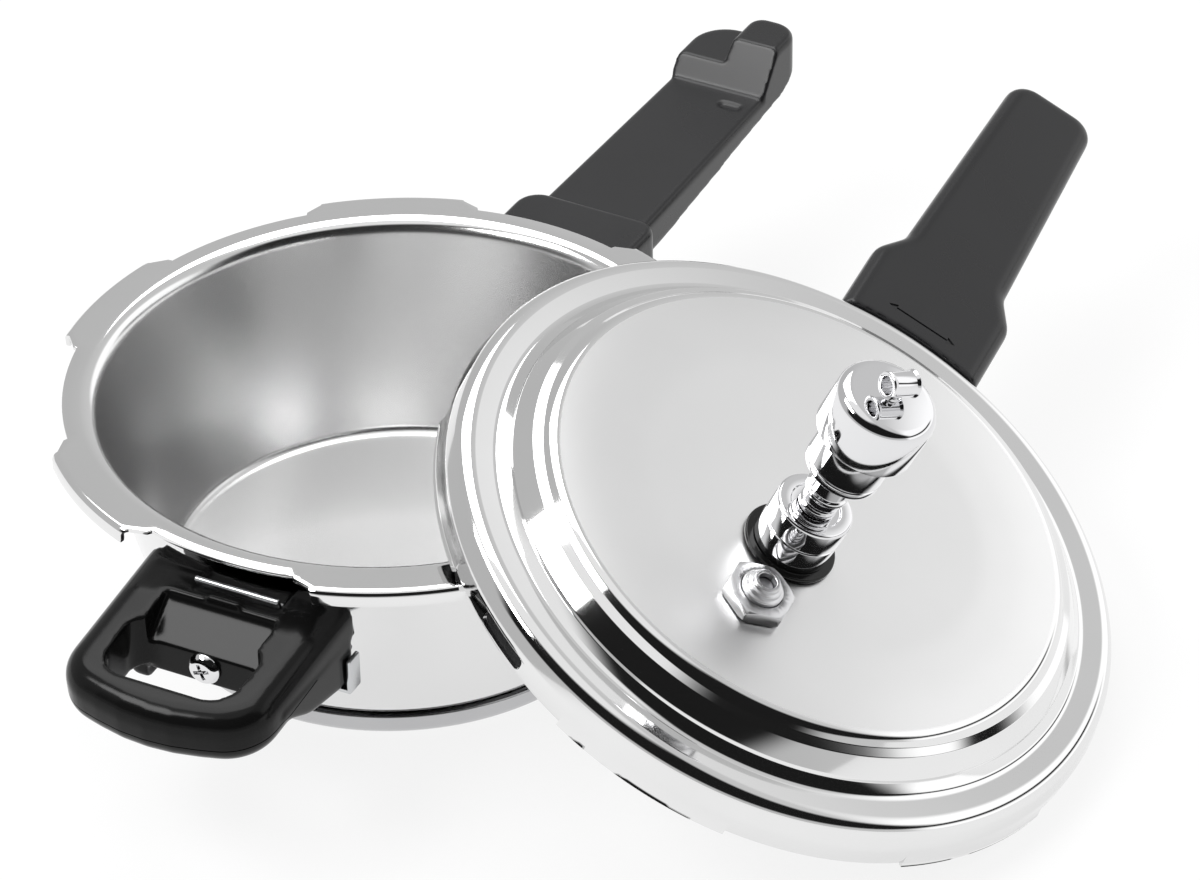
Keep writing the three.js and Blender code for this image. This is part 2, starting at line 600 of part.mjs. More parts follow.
// The lid is drawn with its handle along +X and the top of its ring at height 0
function lidShell() {
  const ledgeEdge = DOME_FOOT_RADIUS - DOME_WALL_LEAN;
  const crownFoot = ledgeEdge - LEDGE_WIDTH;
  const bandTop = -SKIRT_DEPTH + FLARE_HEIGHT;
  const bandStart = bandTop + LID_SHEET;
  const shell = turned(sheet([
    [0, DOME_HEIGHT],
    [crownFoot - CROWN_LEAN, DOME_HEIGHT, CROWN_CORNER],
    [crownFoot, LEDGE_HEIGHT, CROWN_CORNER],
    [ledgeEdge, LEDGE_HEIGHT, LEDGE_CORNER],
    [DOME_FOOT_RADIUS, 0, DOME_CORNER],
    [lidRadius, shoulderHeight, SHOULDER_CORNER],
    [lidRadius, bandTop],
  ], -LID_SHEET), ROUND_FACETS);
  const lugBand = turned(sheet([
    [lidRadius, bandStart],
    [lidRadius, -SKIRT_DEPTH, LID_SHEET],
    [lidLugRadius, -SKIRT_DEPTH],
  ], -LID_SHEET), ROUND_FACETS);
  const flareBand = turned(sheet([
    [lidRadius, bandStart],
    [lidRadius, bandTop],
    [lidRadius + SKIRT_FLARE, -SKIRT_DEPTH],
  ], -LID_SHEET), ROUND_FACETS);
  const low = -SKIRT_DEPTH - OVERCUT;
  const inner = lidLugRadius - OVERCUT;
  const cut = (phase, half) => {
    const beyond = (lidRadius + SKIRT_FLARE + OVERCUT) / Math.cos(half);
    return sectors(phase, inner, beyond, half, half, low, 0);
  };
  const gapHalf = lugPitch / 2 - lidLugHalf + FIT / lidRadius;
  const slotLow = -SKIRT_DEPTH + SLOT_ABOVE_EDGE;
  const slot = box(lidLugRadius, lidRadius + OVERCUT, SLOT_LENGTH / 2, slotLow, slotLow + SLOT_HEIGHT)
    .rotate([0, 0, SLOT_ANGLE]);
  const hole = (offset, radius) => (
    post(radius + FIT, LEDGE_HEIGHT, DOME_HEIGHT + OVERCUT).translate([-offset, 0, 0]));
  return shell
    .add(lugBand.intersect(cut(lugPhase, lidLugHalf)))
    .add(flareBand.intersect(cut(0, gapHalf)))
    .subtract(slot)
    .subtract(hole(VENT_OFFSET, VENT_THREAD_RADIUS))
    .subtract(hole(PLUG_OFFSET, PLUG_THREAD_RADIUS));
}

function gasket() {
  const outer = lidRadius - LID_SHEET - FIT;
  const top = shoulderHeight - LID_SHEET - FIT;
  const inner = outer - GASKET_WIDTH;
  return turned([
    [inner, top],
    [inner, top - GASKET_THICKNESS],
    [outer - GASKET_LIP_WIDTH - GASKET_LIP, top - GASKET_THICKNESS],
    [outer - GASKET_LIP_WIDTH, top - GASKET_THICKNESS - GASKET_LIP],
    [outer, top - GASKET_THICKNESS - GASKET_LIP],
    [outer, top - GASKET_CHAMFER],
    [outer - GASKET_CHAMFER, top],
  ], ROUND_FACETS);
}

// Valve pieces are drawn on their own axis, with the top of the dome at height 0
const washerTop = FIT + WASHER_THICKNESS;
const collarLow = washerTop + FIT;
const collarTop = collarLow + COLLAR_HEIGHT;
const weightLow = collarTop + NECK_SHOWING;
const weightTop = weightLow + WEIGHT_HEIGHT;
const tubeTip = weightLow + WEIGHT_SEAT;
const pinLow = tubeTip + FIT - PIN_NOSE_LENGTH / 2;
const capLow = weightTop + FIT;
const capTop = capLow + WEIGHT_CAP_HEIGHT;
const threadBore = VENT_THREAD_RADIUS + FIT;
const lidUnder = -LID_SHEET - FIT;

function ventTube() {
  const neckLow = collarTop + FIT;
  const ringLow = neckLow + NECK_SHOWING / 2 - VENT_RING_HEIGHT;
  const taperLow = tubeTip - VENT_TIP_TAPER;
  return turned([
    [VENT_BORE_RADIUS, -VENT_BELOW],
    [VENT_THREAD_RADIUS, -VENT_BELOW],
    [VENT_THREAD_RADIUS, neckLow],
    [VENT_NECK_RADIUS, neckLow],
    [VENT_NECK_RADIUS, ringLow],
    [VENT_RING_RADIUS, ringLow + VENT_RING_HEIGHT / 4],
    [VENT_RING_RADIUS, ringLow + VENT_RING_HEIGHT * 3 / 4],
    [VENT_NECK_RADIUS, ringLow + VENT_RING_HEIGHT],
    [VENT_NECK_RADIUS, taperLow],
    [(VENT_NECK_RADIUS + VENT_BORE_RADIUS) / 2, tubeTip],
    [VENT_BORE_RADIUS, tubeTip],
  ], SMALL_FACETS);
}

function ventCollar() {
  const groove = (collarLow + collarTop) / 2;
  const bevel = GROOVE_DEPTH;
  return turned([
    [threadBore, collarLow],
    [COLLAR_RADIUS, collarLow],
    [COLLAR_RADIUS, groove - GROOVE_WIDTH / 2],
    [COLLAR_RADIUS - GROOVE_DEPTH, groove],
    [COLLAR_RADIUS, groove + GROOVE_WIDTH / 2],
    [COLLAR_RADIUS, collarTop - bevel],
    [COLLAR_RADIUS - bevel, collarTop],
    [threadBore, collarTop],
  ], SMALL_FACETS);
}

function hexNut(acrossFlats, thickness, bore, low) {
  const high = low + thickness;
  return slab(hexagon(acrossFlats), low, high).subtract(post(bore, low - OVERCUT, high + OVERCUT));
}

function weightBody() {
  const groove = weightLow + WEIGHT_HEIGHT / 5;
  const bevel = GROOVE_DEPTH;
  const spigotTop = weightTop + SPIGOT_HEIGHT;
  const roof = tubeTip + PIN_NOSE_LENGTH;
  return turned([
    [WEIGHT_BORE_RADIUS, weightLow],
    [WEIGHT_RADIUS - bevel, weightLow],
    [WEIGHT_RADIUS, weightLow + bevel],
    [WEIGHT_RADIUS, groove - GROOVE_WIDTH / 2],
    [WEIGHT_RADIUS - GROOVE_DEPTH, groove],
    [WEIGHT_RADIUS, groove + GROOVE_WIDTH / 2],
    [WEIGHT_RADIUS, weightTop],
    [SPIGOT_RADIUS, weightTop],
    [SPIGOT_RADIUS, spigotTop],
    [PIN_RADIUS + FIT, spigotTop],
    [PIN_RADIUS + FIT, roof],
    [WEIGHT_BORE_RADIUS, roof],
  ], SMALL_FACETS);
}

function weightPin() {
  return turned([
    [0, pinLow],
    [PIN_NOSE_RADIUS, pinLow],
    [PIN_RADIUS, pinLow + PIN_NOSE_LENGTH],
    [PIN_RADIUS, pinLow + PIN_LENGTH],
    [0, pinLow + PIN_LENGTH],
  ], SMALL_FACETS);
}

function weightCap() {
  const roof = weightTop + SPIGOT_HEIGHT + FIT;
  return turned([
    ...rounded([
      [SPIGOT_RADIUS + FIT, capLow],
      [WEIGHT_CAP_RADIUS, capLow],
      [WEIGHT_CAP_RADIUS, capTop, WEIGHT_CAP_CORNER],
      [0, capTop],
    ], false),
    [0, roof],
    [SPIGOT_RADIUS + FIT, roof],
  ], SMALL_FACETS);
}

function liftEye() {
  const height = capTop + FIT + EYE_FOOT_HEIGHT + EYE_RADIUS;
  const half = EYE_LENGTH / 2;
  const waist = half - 2 * (EYE_RADIUS - EYE_WAIST_RADIUS);
  const tube = turned([
    [0, -half],
    [EYE_RADIUS, -half],
    [EYE_WAIST_RADIUS, -waist],
    [EYE_WAIST_RADIUS, waist],
    [EYE_RADIUS, half],
    [0, half],
  ], SMALL_FACETS);
  const across = (solid) => solid.rotate([0, 90, 0]).translate([0, 0, height]).rotate([0, 0, EYE_TURN]);
  const foot = post(EYE_FOOT_RADIUS, capTop + FIT, height);
  const bore = post(EYE_BORE_RADIUS, -half - OVERCUT, half + OVERCUT);
  return across(tube).add(foot).subtract(across(bore));
}

const plugNutTop = FIT + PLUG_NUT_THICKNESS;
const plugTop = plugNutTop + PLUG_STEPS * PLUG_STEP_HEIGHT;
const plugFlangeTop = lidUnder - PLUG_WASHER_THICKNESS - FIT;
const plugLow = plugFlangeTop - PLUG_FLANGE_THICKNESS;

function safetyPlug() {
  const steps = Array.from({ length: PLUG_STEPS }, (_, i) => {
    const radius = PLUG_THREAD_RADIUS - i * PLUG_STEP_IN;
    const low = plugNutTop + i * PLUG_STEP_HEIGHT;
    return [[radius, low], [radius, low + PLUG_STEP_HEIGHT]];
  });
  return turned([
    [PLUG_BORE_RADIUS, plugLow],
    [PLUG_FLANGE_RADIUS, plugLow],
    [PLUG_FLANGE_RADIUS, plugFlangeTop],
    [PLUG_THREAD_RADIUS, plugFlangeTop],
    ...steps.flat(),
    [PLUG_BORE_RADIUS, plugTop],
  ], SMALL_FACETS);
}

const lidTongueTop = LID_HANDLE_TOP - LID_HANDLE_WALL - FIT;
const lidTongueLow = lidTongueTop - TONGUE_THICKNESS;
const lidStrapLow = -SKIRT_DEPTH + FLARE_HEIGHT + FIT;

function lidBracket() {
  const inner = lidRadius + FIT;
  const strapTop = lidStrapLow + LID_BRACKET_HEIGHT;
  const strap = ring(inner, inner + BRACKET_SHEET, lidStrapLow, strapTop, ROUND_FACETS)
    .intersect(box(0, 2 * lidRadius, LID_BRACKET_HALF_WIDTH, -SKIRT_DEPTH, 0));
  const tongue = box(inner + BRACKET_SHEET / 2, lidRadius + LID_TONGUE_REACH, TONGUE_HALF_WIDTH,
    lidTongueLow, lidTongueTop);
  const holes = LID_SCREW_REACH.map((reach) => (
    post(screwHole, lidTongueLow - OVERCUT, lidTongueTop + OVERCUT).translate([lidRadius + reach, 0, 0])));
  return holes.reduce((solid, hole) => solid.subtract(hole), strap.add(tongue));
}

function lidHandle() {
  const low = LID_HANDLE_TOP - LID_HANDLE_THICKNESS;
  const side = (sign) => [
    [lidRadius - LID_HANDLE_CORNER, sign * LID_HANDLE_FLARE_HALF_WIDTH],
    [LID_HANDLE_FLARE_END, sign * LID_HANDLE_FLARE_HALF_WIDTH, LID_HANDLE_SWEEP],
    [LID_HANDLE_FLARE_END + LID_HANDLE_S_LENGTH, sign * LID_HANDLE_GRIP_HALF_WIDTH, LID_HANDLE_SWEEP],
    [LID_HANDLE_END, sign * LID_HANDLE_END_HALF_WIDTH, LID_HANDLE_CORNER],
  ];
  const body = slab(rounded([...side(-1), ...side(1).reverse()], true), low, LID_HANDLE_TOP, LID_HANDLE_EDGE);
  const roof = LID_HANDLE_TOP - LID_HANDLE_WALL;
  const below = low - OVERCUT;
  const room = lidRadius + Math.max(bracketSkin, SKIRT_FLARE + FIT);
  const skirtRoom = post(room, below, OVERCUT, ROUND_FACETS);
  const pocket = box(lidRadius, lidRadius + LID_TONGUE_REACH + FIT, TONGUE_HALF_WIDTH + FIT, below, roof);
  const hollowStart = lidRadius + LID_TONGUE_REACH + LID_HANDLE_WALL;
  const hollowEnd = LID_HANDLE_END - LID_HANDLE_CORNER;
  const hollow = box(hollowStart, hollowEnd, LID_HANDLE_END_HALF_WIDTH - LID_HANDLE_WALL, below, roof);
  const holes = LID_SCREW_REACH.map((reach) => (
    post(screwHole, low, roof + LID_HANDLE_WALL / 2).translate([lidRadius + reach, 0, 0])));
  return [skirtRoom, pocket, hollow, ...holes].reduce((solid, cutter) => solid.subtract(cutter), body);
}

// Assembly
const pan = new THREE.Group();
node('pan_body', panBody(), STEEL, pan);
node('base_core', baseCore(), ALUMINIUM, pan);
node('base_cap', baseCap(), STEEL, pan);
node('main_handle', mainHandle(), PHENOLIC, pan);
node('main_handle_bracket', mainBracket(), STEEL, pan);
const mainWasherTop = mainTongueLow - FIT;
const mainWasherLow = mainWasherTop - BRACKET_SHEET;
const mainWasherRadius = SCREW_HEAD_RADIUS + BRACKET_SHEET;
const mainWasher = ring(screwHole, mainWasherRadius, mainWasherLow, mainWasherTop, SMALL_FACETS);
node('main_handle_washer', mainWasher, PLATED, pan).position.set(mainScrewX, 0, 0);
const mainScrewLow = mainWasherLow - FIT;
node('main_handle_screw', panHeadScrew(mainScrewTop - mainScrewLow), PLATED, pan)
  .position.set(mainScrewX, 0, mainScrewLow);

const helper = new THREE.Group();
helper.rotation.z = degrees(HELPER_ANGLE);
node('helper_handle', helperHandle(), PHENOLIC, helper);
node('helper_handle_bracket', helperBracket(), STEEL, helper);
const helperScrewX = HELPER_BLOCK_END + FIT;
const helperScrewLength = helperScrewX - helperWall - HELPER_STEM_REACH + HELPER_SCREW_BITE;
const helperScrew = node('helper_handle_screw', panHeadScrew(helperScrewLength), PLATED, helper);
helperScrew.position.set(helperScrewX, 0, helperStemHeight);
helperScrew.rotation.y = -Math.PI / 2;

const lid = new THREE.Group();
node('lid_shell', lidShell(), STEEL, lid);
node('gasket', gasket(), RUBBER, lid);
node('lid_handle', lidHandle(), PHENOLIC, lid);
node('lid_handle_bracket', lidBracket(), STEEL, lid);
const lidScrewLow = lidTongueLow - FIT;
const lidScrewLength = LID_HANDLE_TOP - LID_HANDLE_WALL / 2 - FIT - lidScrewLow;
['lid_handle_front_screw', 'lid_handle_rear_screw'].forEach((name, i) => {
  const screw = node(name, panHeadScrew(lidScrewLength), PLATED, lid);
  screw.position.set(lidRadius + LID_SCREW_REACH[i], 0, lidScrewLow);
});

const vent = new THREE.Group();
vent.position.set(-VENT_OFFSET, 0, DOME_HEIGHT);
node('vent_washer', ring(threadBore, WASHER_RADIUS, FIT, washerTop, SMALL_FACETS), RUBBER, vent);
node('vent_collar', ventCollar(), PLATED, vent);
node('vent_tube', ventTube(), PLATED, vent);
node('vent_nut', hexNut(NUT_ACROSS_FLATS, NUT_THICKNESS, threadBore, lidUnder - NUT_THICKNESS), PLATED, vent);
node('weight_body', weightBody(), PLATED, vent);
node('weight_pin', weightPin(), PLATED, vent);
node('weight_cap', weightCap(), PLATED, vent);
node('lift_eye', liftEye(), PLATED, vent);

const plug = new THREE.Group();
plug.position.set(-PLUG_OFFSET, 0, DOME_HEIGHT);
const plugBore = PLUG_THREAD_RADIUS + FIT;
node('safety_plug', safetyPlug(), PLATED, plug);
node('safety_nut', hexNut(PLUG_NUT_ACROSS_FLATS, PLUG_NUT_THICKNESS, plugBore, FIT), PLATED, plug);
const plugWasherLow = lidUnder - PLUG_WASHER_THICKNESS;
const plugWasher = ring(plugBore, PLUG_FLANGE_RADIUS, plugWasherLow, lidUnder, SMALL_FACETS);
node('safety_washer', plugWasher, RUBBER, plug);
node('fusible_insert', post(PLUG_BORE_RADIUS - FIT, plugLow, plugTop - INSERT_SUNK), ALLOY, plug);
lid.add(vent, plug);

// The lid's skirt stands on the table at its lowest point.
// Its turned-in lugs lie on the pan's rim at two places.
const upSlope = LEAN_CONTACT * lidRadius;
const tilt = Math.asin(PAN_HEIGHT / (lidRadius + upSlope));
const edgeHeight = FIT + lidRadius * Math.sin(tilt);
const halfChord = Math.sqrt(lidLugRadius ** 2 - upSlope ** 2);
const edgeDistance = Math.sqrt(PAN_LUG_RADIUS ** 2 - halfChord ** 2) + upSlope * Math.cos(tilt);
lid.rotation.z = degrees(LID_HANDLE_TURN);
lid.position.z = SKIRT_DEPTH;
const leaning = new THREE.Group();
leaning.position.set(edgeDistance, 0, edgeHeight);
leaning.rotation.y = tilt;
leaning.add(lid);
const leanSide = new THREE.Group();
leanSide.rotation.z = degrees(LEAN_AZIMUTH);
leanSide.add(leaning);

const pressurePan = new THREE.Group();
pressurePan.add(pan, helper, leanSide);
export default pressurePan;
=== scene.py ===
# %% [markdown]
# # A pressure pan with its lid leaning on the rim
# The measured frame comes first. It holds every piece at its place, with flat facets.
# Polished steel shows every facet, so each visible piece is modelled again round the frame.
# Lengths are written in millimetres and angles in degrees; MM turns a length into metres.

import bmesh
import bpy
import json
from math import atan2, ceil, cos, degrees, pi, radians, sin, tan
from mathutils import Matrix, Vector

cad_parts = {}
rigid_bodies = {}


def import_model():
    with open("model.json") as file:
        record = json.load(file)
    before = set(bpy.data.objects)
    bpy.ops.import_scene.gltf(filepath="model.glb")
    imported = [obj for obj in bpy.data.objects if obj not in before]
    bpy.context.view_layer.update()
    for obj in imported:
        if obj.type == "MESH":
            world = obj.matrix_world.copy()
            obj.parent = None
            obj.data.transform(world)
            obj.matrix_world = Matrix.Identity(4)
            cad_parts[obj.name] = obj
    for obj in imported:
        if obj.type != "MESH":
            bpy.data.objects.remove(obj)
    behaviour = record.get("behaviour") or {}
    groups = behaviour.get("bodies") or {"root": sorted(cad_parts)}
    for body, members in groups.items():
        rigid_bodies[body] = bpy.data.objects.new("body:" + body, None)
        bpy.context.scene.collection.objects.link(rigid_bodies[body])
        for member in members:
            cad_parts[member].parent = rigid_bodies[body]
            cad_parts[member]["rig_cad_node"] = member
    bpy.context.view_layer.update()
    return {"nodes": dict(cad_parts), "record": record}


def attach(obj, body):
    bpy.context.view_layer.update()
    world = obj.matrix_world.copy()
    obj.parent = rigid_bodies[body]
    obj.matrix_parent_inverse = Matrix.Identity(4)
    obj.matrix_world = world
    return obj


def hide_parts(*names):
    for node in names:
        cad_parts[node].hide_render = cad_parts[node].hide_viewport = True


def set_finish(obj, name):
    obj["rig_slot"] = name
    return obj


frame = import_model()
MM = 0.001
print("frame nodes:", len(frame["nodes"]))

# %% [markdown]
# ## Rounding the corners of a section
# Pressed and turned metal is known by its section. A section is a line of corners, and
# each corner carries the radius of the tool that bent it. Here every such corner becomes an arc.

# %% Rounded corners
ARC_ROOM = 0.495  # share of the shorter side that an arc may take


def rounded(corners, closed=False, step=9):
    """Corners (a, b, radius) become points, with an arc at every radius and a point every step degrees."""
    points = []
    last = len(corners) - 1
    for i, corner in enumerate(corners):
        here = Vector(corner[:2])
        radius = corner[2] if len(corner) > 2 else 0
        if not radius or (not closed and i in (0, last)):
            points.append(here)
            continue
        back = Vector(corners[i - 1][:2]) - here
        ahead = Vector(corners[(i + 1) % len(corners)][:2]) - here
        half = back.angle(ahead) / 2
        reach = min(radius / tan(half), ARC_ROOM * min(back.length, ahead.length))
        bend = reach * tan(half)
        back.normalize()
        ahead.normalize()
        centre = here + (back + ahead).normalized() * bend / sin(half)
        start = here + back * reach - centre
        end = here + ahead * reach - centre
        turn = pi - 2 * half
        count = max(2, ceil(turn / radians(step)))
        for k in range(count + 1):
            share = k / count
            points.append(centre + (start * sin((1 - share) * turn) + end * sin(share * turn)) / sin(turn))
    return points


print("points of a line with one rounded corner:", len(rounded([(0, 0), (10, 0, 2), (10, 10)])))

# %% [markdown]
# ## Drawing the line
# The line is drawn as by hand: one point, extruded from place to place. Everything is
# deselected before each operator, so that it works on the new piece alone.

# %% A drawn line


def clear_selection():
    if bpy.context.mode != "OBJECT":
        bpy.ops.object.mode_set(mode="OBJECT")
    bpy.ops.object.select_all(action="DESELECT")


def trace(name, points):
    """A wire through the points, in metres; the new piece is left in edit mode."""
    clear_selection()
    bpy.ops.mesh.primitive_plane_add(size=MM)
    piece = bpy.context.object
    piece.name = piece.data.name = name
    bpy.ops.object.mode_set(mode="EDIT")
    bpy.ops.mesh.select_mode(type="VERT")
    bpy.ops.mesh.merge(type="CENTER")
    bpy.ops.transform.translate(value=points[0])
    for a, b in zip(points, points[1:]):
        bpy.ops.mesh.extrude_vertices_move(TRANSFORM_OT_translate={"value": b - a})
    return piece


# %% [markdown]
# ## Spinning a round piece
# A lathe or a press makes a round piece, and the spin operator does the same to the drawn line.
# The points that meet after a full turn are welded, and all faces are made to look outward.

# %% Spinning
WELD = 1e-6  # metres; points closer than this become one


def tidy_faces():
    bpy.ops.mesh.select_all(action="SELECT")
    bpy.ops.mesh.remove_doubles(threshold=WELD)
    bpy.ops.mesh.normals_make_consistent(inside=False)


def spun(name, corners, steps, closed=False, step=9):
    """A section of (radius, height, corner radius), turned round the Z axis."""
    line = rounded(corners, closed, step)
    if closed:
        line.append(line[0])
    piece = trace(name, [Vector((p.x * MM, 0, p.y * MM)) for p in line])
    bpy.ops.mesh.select_all(action="SELECT")
    bpy.ops.mesh.spin(steps=steps, angle=2 * pi, center=(0, 0, 0), axis=(0, 0, 1))
    tidy_faces()
    bpy.ops.object.mode_set(mode="OBJECT")
    return piece


# %% [markdown]
# ## Finishing a piece
# Thickness and softened edges are modifiers, applied at once so that the mesh is final.
# Each finished piece rides on one body of the frame and stands for the nodes that it replaces.

# %% Finishing tools


def pick(piece):
    clear_selection()
    piece.select_set(True)
    bpy.context.view_layer.objects.active = piece


def apply(piece, kind, **settings):
    pick(piece)
    bpy.ops.object.modifier_add(type=kind)
    modifier = piece.modifiers[-1]
    for key, value in settings.items():
        setattr(modifier, key, value)
    bpy.ops.object.modifier_apply(modifier=modifier.name)


def soften(piece, width, segments, angle):
    """Round every edge that turns by more than the angle."""
    apply(piece, "BEVEL", width=width * MM, segments=segments, limit_method="ANGLE",
          angle_limit=radians(angle), harden_normals=False)


def smooth(piece, angle=35):
    pick(piece)
    bpy.ops.object.shade_smooth_by_angle(angle=radians(angle))


def belongs(piece, body, slot, *nodes):
    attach(piece, body)
    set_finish(piece, slot)
    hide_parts(*nodes)
    print(piece.name, "faces:", len(piece.data.polygons))


# %% [markdown]
# ## A rim with lugs
# Pan and lid both have six lugs, which lock by a short turn. A lug is a part of the rim that goes on
# further than the rest, so the rim's open edge is picked lug by lug and extruded row by row.
# Only then does the drawn face get the thickness of its sheet.

# %% Tools for pressed sheet with lugs
LUG_PITCH = 60
NEAR = 0.2  # how far an edge may lie from the rim's radius and height


def from_lug(point):
    """Angle between a point and the middle of the nearest lug."""
    return degrees(atan2(point.y, point.x)) % LUG_PITCH - LUG_PITCH / 2


def pull_rim(piece, radius, height, chosen, rows):
    """Extrude the chosen parts of the rim's edge through rows of (radius, height, share of the angle)."""
    pick(piece)
    bpy.ops.object.mode_set(mode="EDIT")
    bpy.ops.mesh.select_mode(type="EDGE")
    bpy.ops.mesh.select_all(action="DESELECT")
    edit = bmesh.from_edit_mesh(piece.data)
    for edge in edit.edges:
        middle = (edge.verts[0].co + edge.verts[1].co) / 2
        on_rim = edge.is_boundary and abs(middle.xy.length - radius * MM) < NEAR * MM
        edge.select_set(on_rim and abs(middle.z - height * MM) < NEAR * MM and chosen(middle))
    edit.select_flush_mode()
    bmesh.update_edit_mesh(piece.data)
    for far, high, squeeze in rows:
        bpy.ops.mesh.extrude_edges_move()
        edit = bmesh.from_edit_mesh(piece.data)
        for vertex in edit.verts:
            if not vertex.select:
                continue
            angle = atan2(vertex.co.y, vertex.co.x) - radians(from_lug(vertex.co)) * (1 - squeeze)
            vertex.co = Vector((far * cos(angle), far * sin(angle), high)) * MM
        bmesh.update_edit_mesh(piece.data)
    bpy.ops.object.mode_set(mode="OBJECT")


def thicken(piece, sheet):
    """Let the drawn face look up at its middle, and add the sheet's thickness under it."""
    pick(piece)
    bpy.ops.object.mode_set(mode="EDIT")
    tidy_faces()
    edit = bmesh.from_edit_mesh(piece.data)
    middle_face = min(edit.faces, key=lambda f: f.calc_center_median().xy.length)
    if middle_face.normal.z < 0:
        bpy.ops.mesh.flip_normals()
    bpy.ops.object.mode_set(mode="OBJECT")
    apply(piece, "SOLIDIFY", thickness=sheet * MM, offset=-1, use_even_offset=True)


# %% [markdown]
# ## The pan
# The real pan is drawn from one disc of stainless steel in a press, and its flange is trimmed to
# six lugs. Each lug has a sloped end that leads the lid in, and an edge turned down for stiffness.
# What is drawn here is the inside face, since it meets the flange without a break.

# %% Pan body
PAN_STEPS = 180
PAN_SHEET = 1.5
RIM = 73
LUG_START = 93.5
LUG_FLAT = 97.4
LUG_BEND = 2
LUG_EDGE = LUG_FLAT + LUG_BEND
PAN_LUG_HALF = 16

pan = spun("pan_shell", [(0, 7.7), (68.14, 7.7, 3.5), (84.84, RIM, 7.5), (LUG_START, RIM)], PAN_STEPS, step=7)
lug_rows = [(94.6, RIM, 0.985), (95.8, RIM, 0.92), (96.8, RIM, 0.93), (LUG_FLAT, RIM, 0.955)]
for bent in (18, 36, 54, 72, 90):
    out, down = LUG_BEND * sin(radians(bent)), LUG_BEND * (1 - cos(radians(bent)))
    lug_rows.append((LUG_FLAT + out, RIM - down, 0.99))
lug_rows += [(LUG_EDGE, 69.6, 0.995), (LUG_EDGE, 68.2, 0.985)]
pull_rim(pan, LUG_START, RIM, lambda p: abs(from_lug(p)) < PAN_LUG_HALF, lug_rows)
thicken(pan, PAN_SHEET)
soften(pan, 0.35, 2, 50)
smooth(pan)
belongs(pan, "pan", "polished_steel", "pan_body")

# %% [markdown]
# ## The base
# A disc that spreads the heat is covered by a thin pressed cap. In the photo the cap is a low band
# with a rounded foot, and a fine groove shows where it ends on the wall.

# %% Base cap
CAP_SHEET = 1

cap = spun("base_cup", [(0, 0), (69.5, 0, 5), (71.2, 7.6, 0.5), (70.9, 8.2)], PAN_STEPS)
apply(cap, "SOLIDIFY", thickness=CAP_SHEET * MM, offset=-1)
soften(cap, 0.25, 2, 50)
smooth(cap)
belongs(cap, "pan", "polished_steel", "base_cap")

# %% [markdown]
# ## Placing and cutting
# The lid leans, so its pieces are modelled level and moved when they are finished. The place is
# then kept in the mesh, and the object itself stays at the origin. Holes are cut by a second solid.

# %% Tools for placing and cutting


def shift(x=0, y=0, z=0):
    return Matrix.Translation((x * MM, y * MM, z * MM))


def rotate(angle, axis):
    return Matrix.Rotation(radians(angle), 4, axis)


def put(piece, place):
    """Move a piece to its place and keep that place in its mesh."""
    pick(piece)
    piece.matrix_world = place
    bpy.ops.object.transform_apply(location=True, rotation=True, scale=True)


def combine(piece, other, operation):
    """Unite, cut or intersect two solids; the other one is used up."""
    apply(piece, "BOOLEAN", operation=operation, object=other, solver="EXACT")
    bpy.data.objects.remove(other)


def cut(piece, cutter):
    combine(piece, cutter, "DIFFERENCE")


def box(name, size, centre=(0, 0, 0)):
    """A plain block, used to cut with."""
    clear_selection()
    bpy.ops.mesh.primitive_cube_add(size=1)
    piece = bpy.context.object
    piece.name = name
    piece.scale = [side * MM for side in size]
    piece.location = [value * MM for value in centre]
    bpy.ops.object.transform_apply(location=True, rotation=True, scale=True)
    return piece


# %% [markdown]
# ## The lid
# The lid is pressed too: a nearly flat crown, a sloped wall with two small steps, a flat ring and a
# skirt that leans in a little at its top. Under the skirt six lugs turn in and grip the pan's lugs,
# and between them the skirt's edge flares out. A slot in the skirt lets the seal give way.
# It is modelled level with its handle along X.

# %% Lid shell
LID_PLACE = rotate(-87.5, "Z") @ shift(119.66, 0, 46.38) @ rotate(27, "Y") @ shift(z=14) @ rotate(93.7, "Z")
LID_STEPS = 240
LID_SHEET = 1.2
LID_LUG_HALF = 15
CROWN = 13.4
SKIRT = 101.5
SKIRT_LOW = -9.5
SLOT_SIDE = 150

lid = spun("lid_dome", [
    (0, CROWN), (52, CROWN, 120), (66, 12.75, 120), (77.2, 11.4, 4), (79.2, 9.1, 0.8), (81.7, 8, 0.8),
    (85.6, 3.1, 1), (85.9, 2.2, 0.5), (89, -0.3, 3), (99.3, 0.7, 5.5), (SKIRT, -7, 8), (SKIRT, SKIRT_LOW)],
    LID_STEPS, step=5)
turned_in = [(SKIRT, -12.2, 1), (101.3, -13.1, 1), (100.7, -13.8, 1), (99.8, -14, 1), (94.5, -14, 1)]
pull_rim(lid, SKIRT, SKIRT_LOW, lambda p: abs(from_lug(p)) < LID_LUG_HALF, turned_in)
flared = [(101.6, -11, 1), (101.8, -12.5, 1), (102.1, -14, 1)]
pull_rim(lid, SKIRT, SKIRT_LOW, lambda p: abs(from_lug(p)) > LID_LUG_HALF, flared)
thicken(lid, LID_SHEET)
slot_tool = box("slot_tool", (14, 18, 4.4), (100, 0, -10))
soften(slot_tool, 1.6, 4, 30)
put(slot_tool, rotate(SLOT_SIDE, "Z"))
cut(lid, slot_tool)
soften(lid, 0.3, 2, 55)
smooth(lid)
put(lid, LID_PLACE)
belongs(lid, "lid", "polished_steel", "lid_shell")

# %% [markdown]
# ## The sealing ring
# A rubber ring lies under the lid's edge and is pressed on the pan's rim. Rubber is moulded,
# so its corners are soft. Only its edge shows through the slot and from below.
# Many pieces of the lid are round, and one function spins, smooths and places them.

# %% Gasket


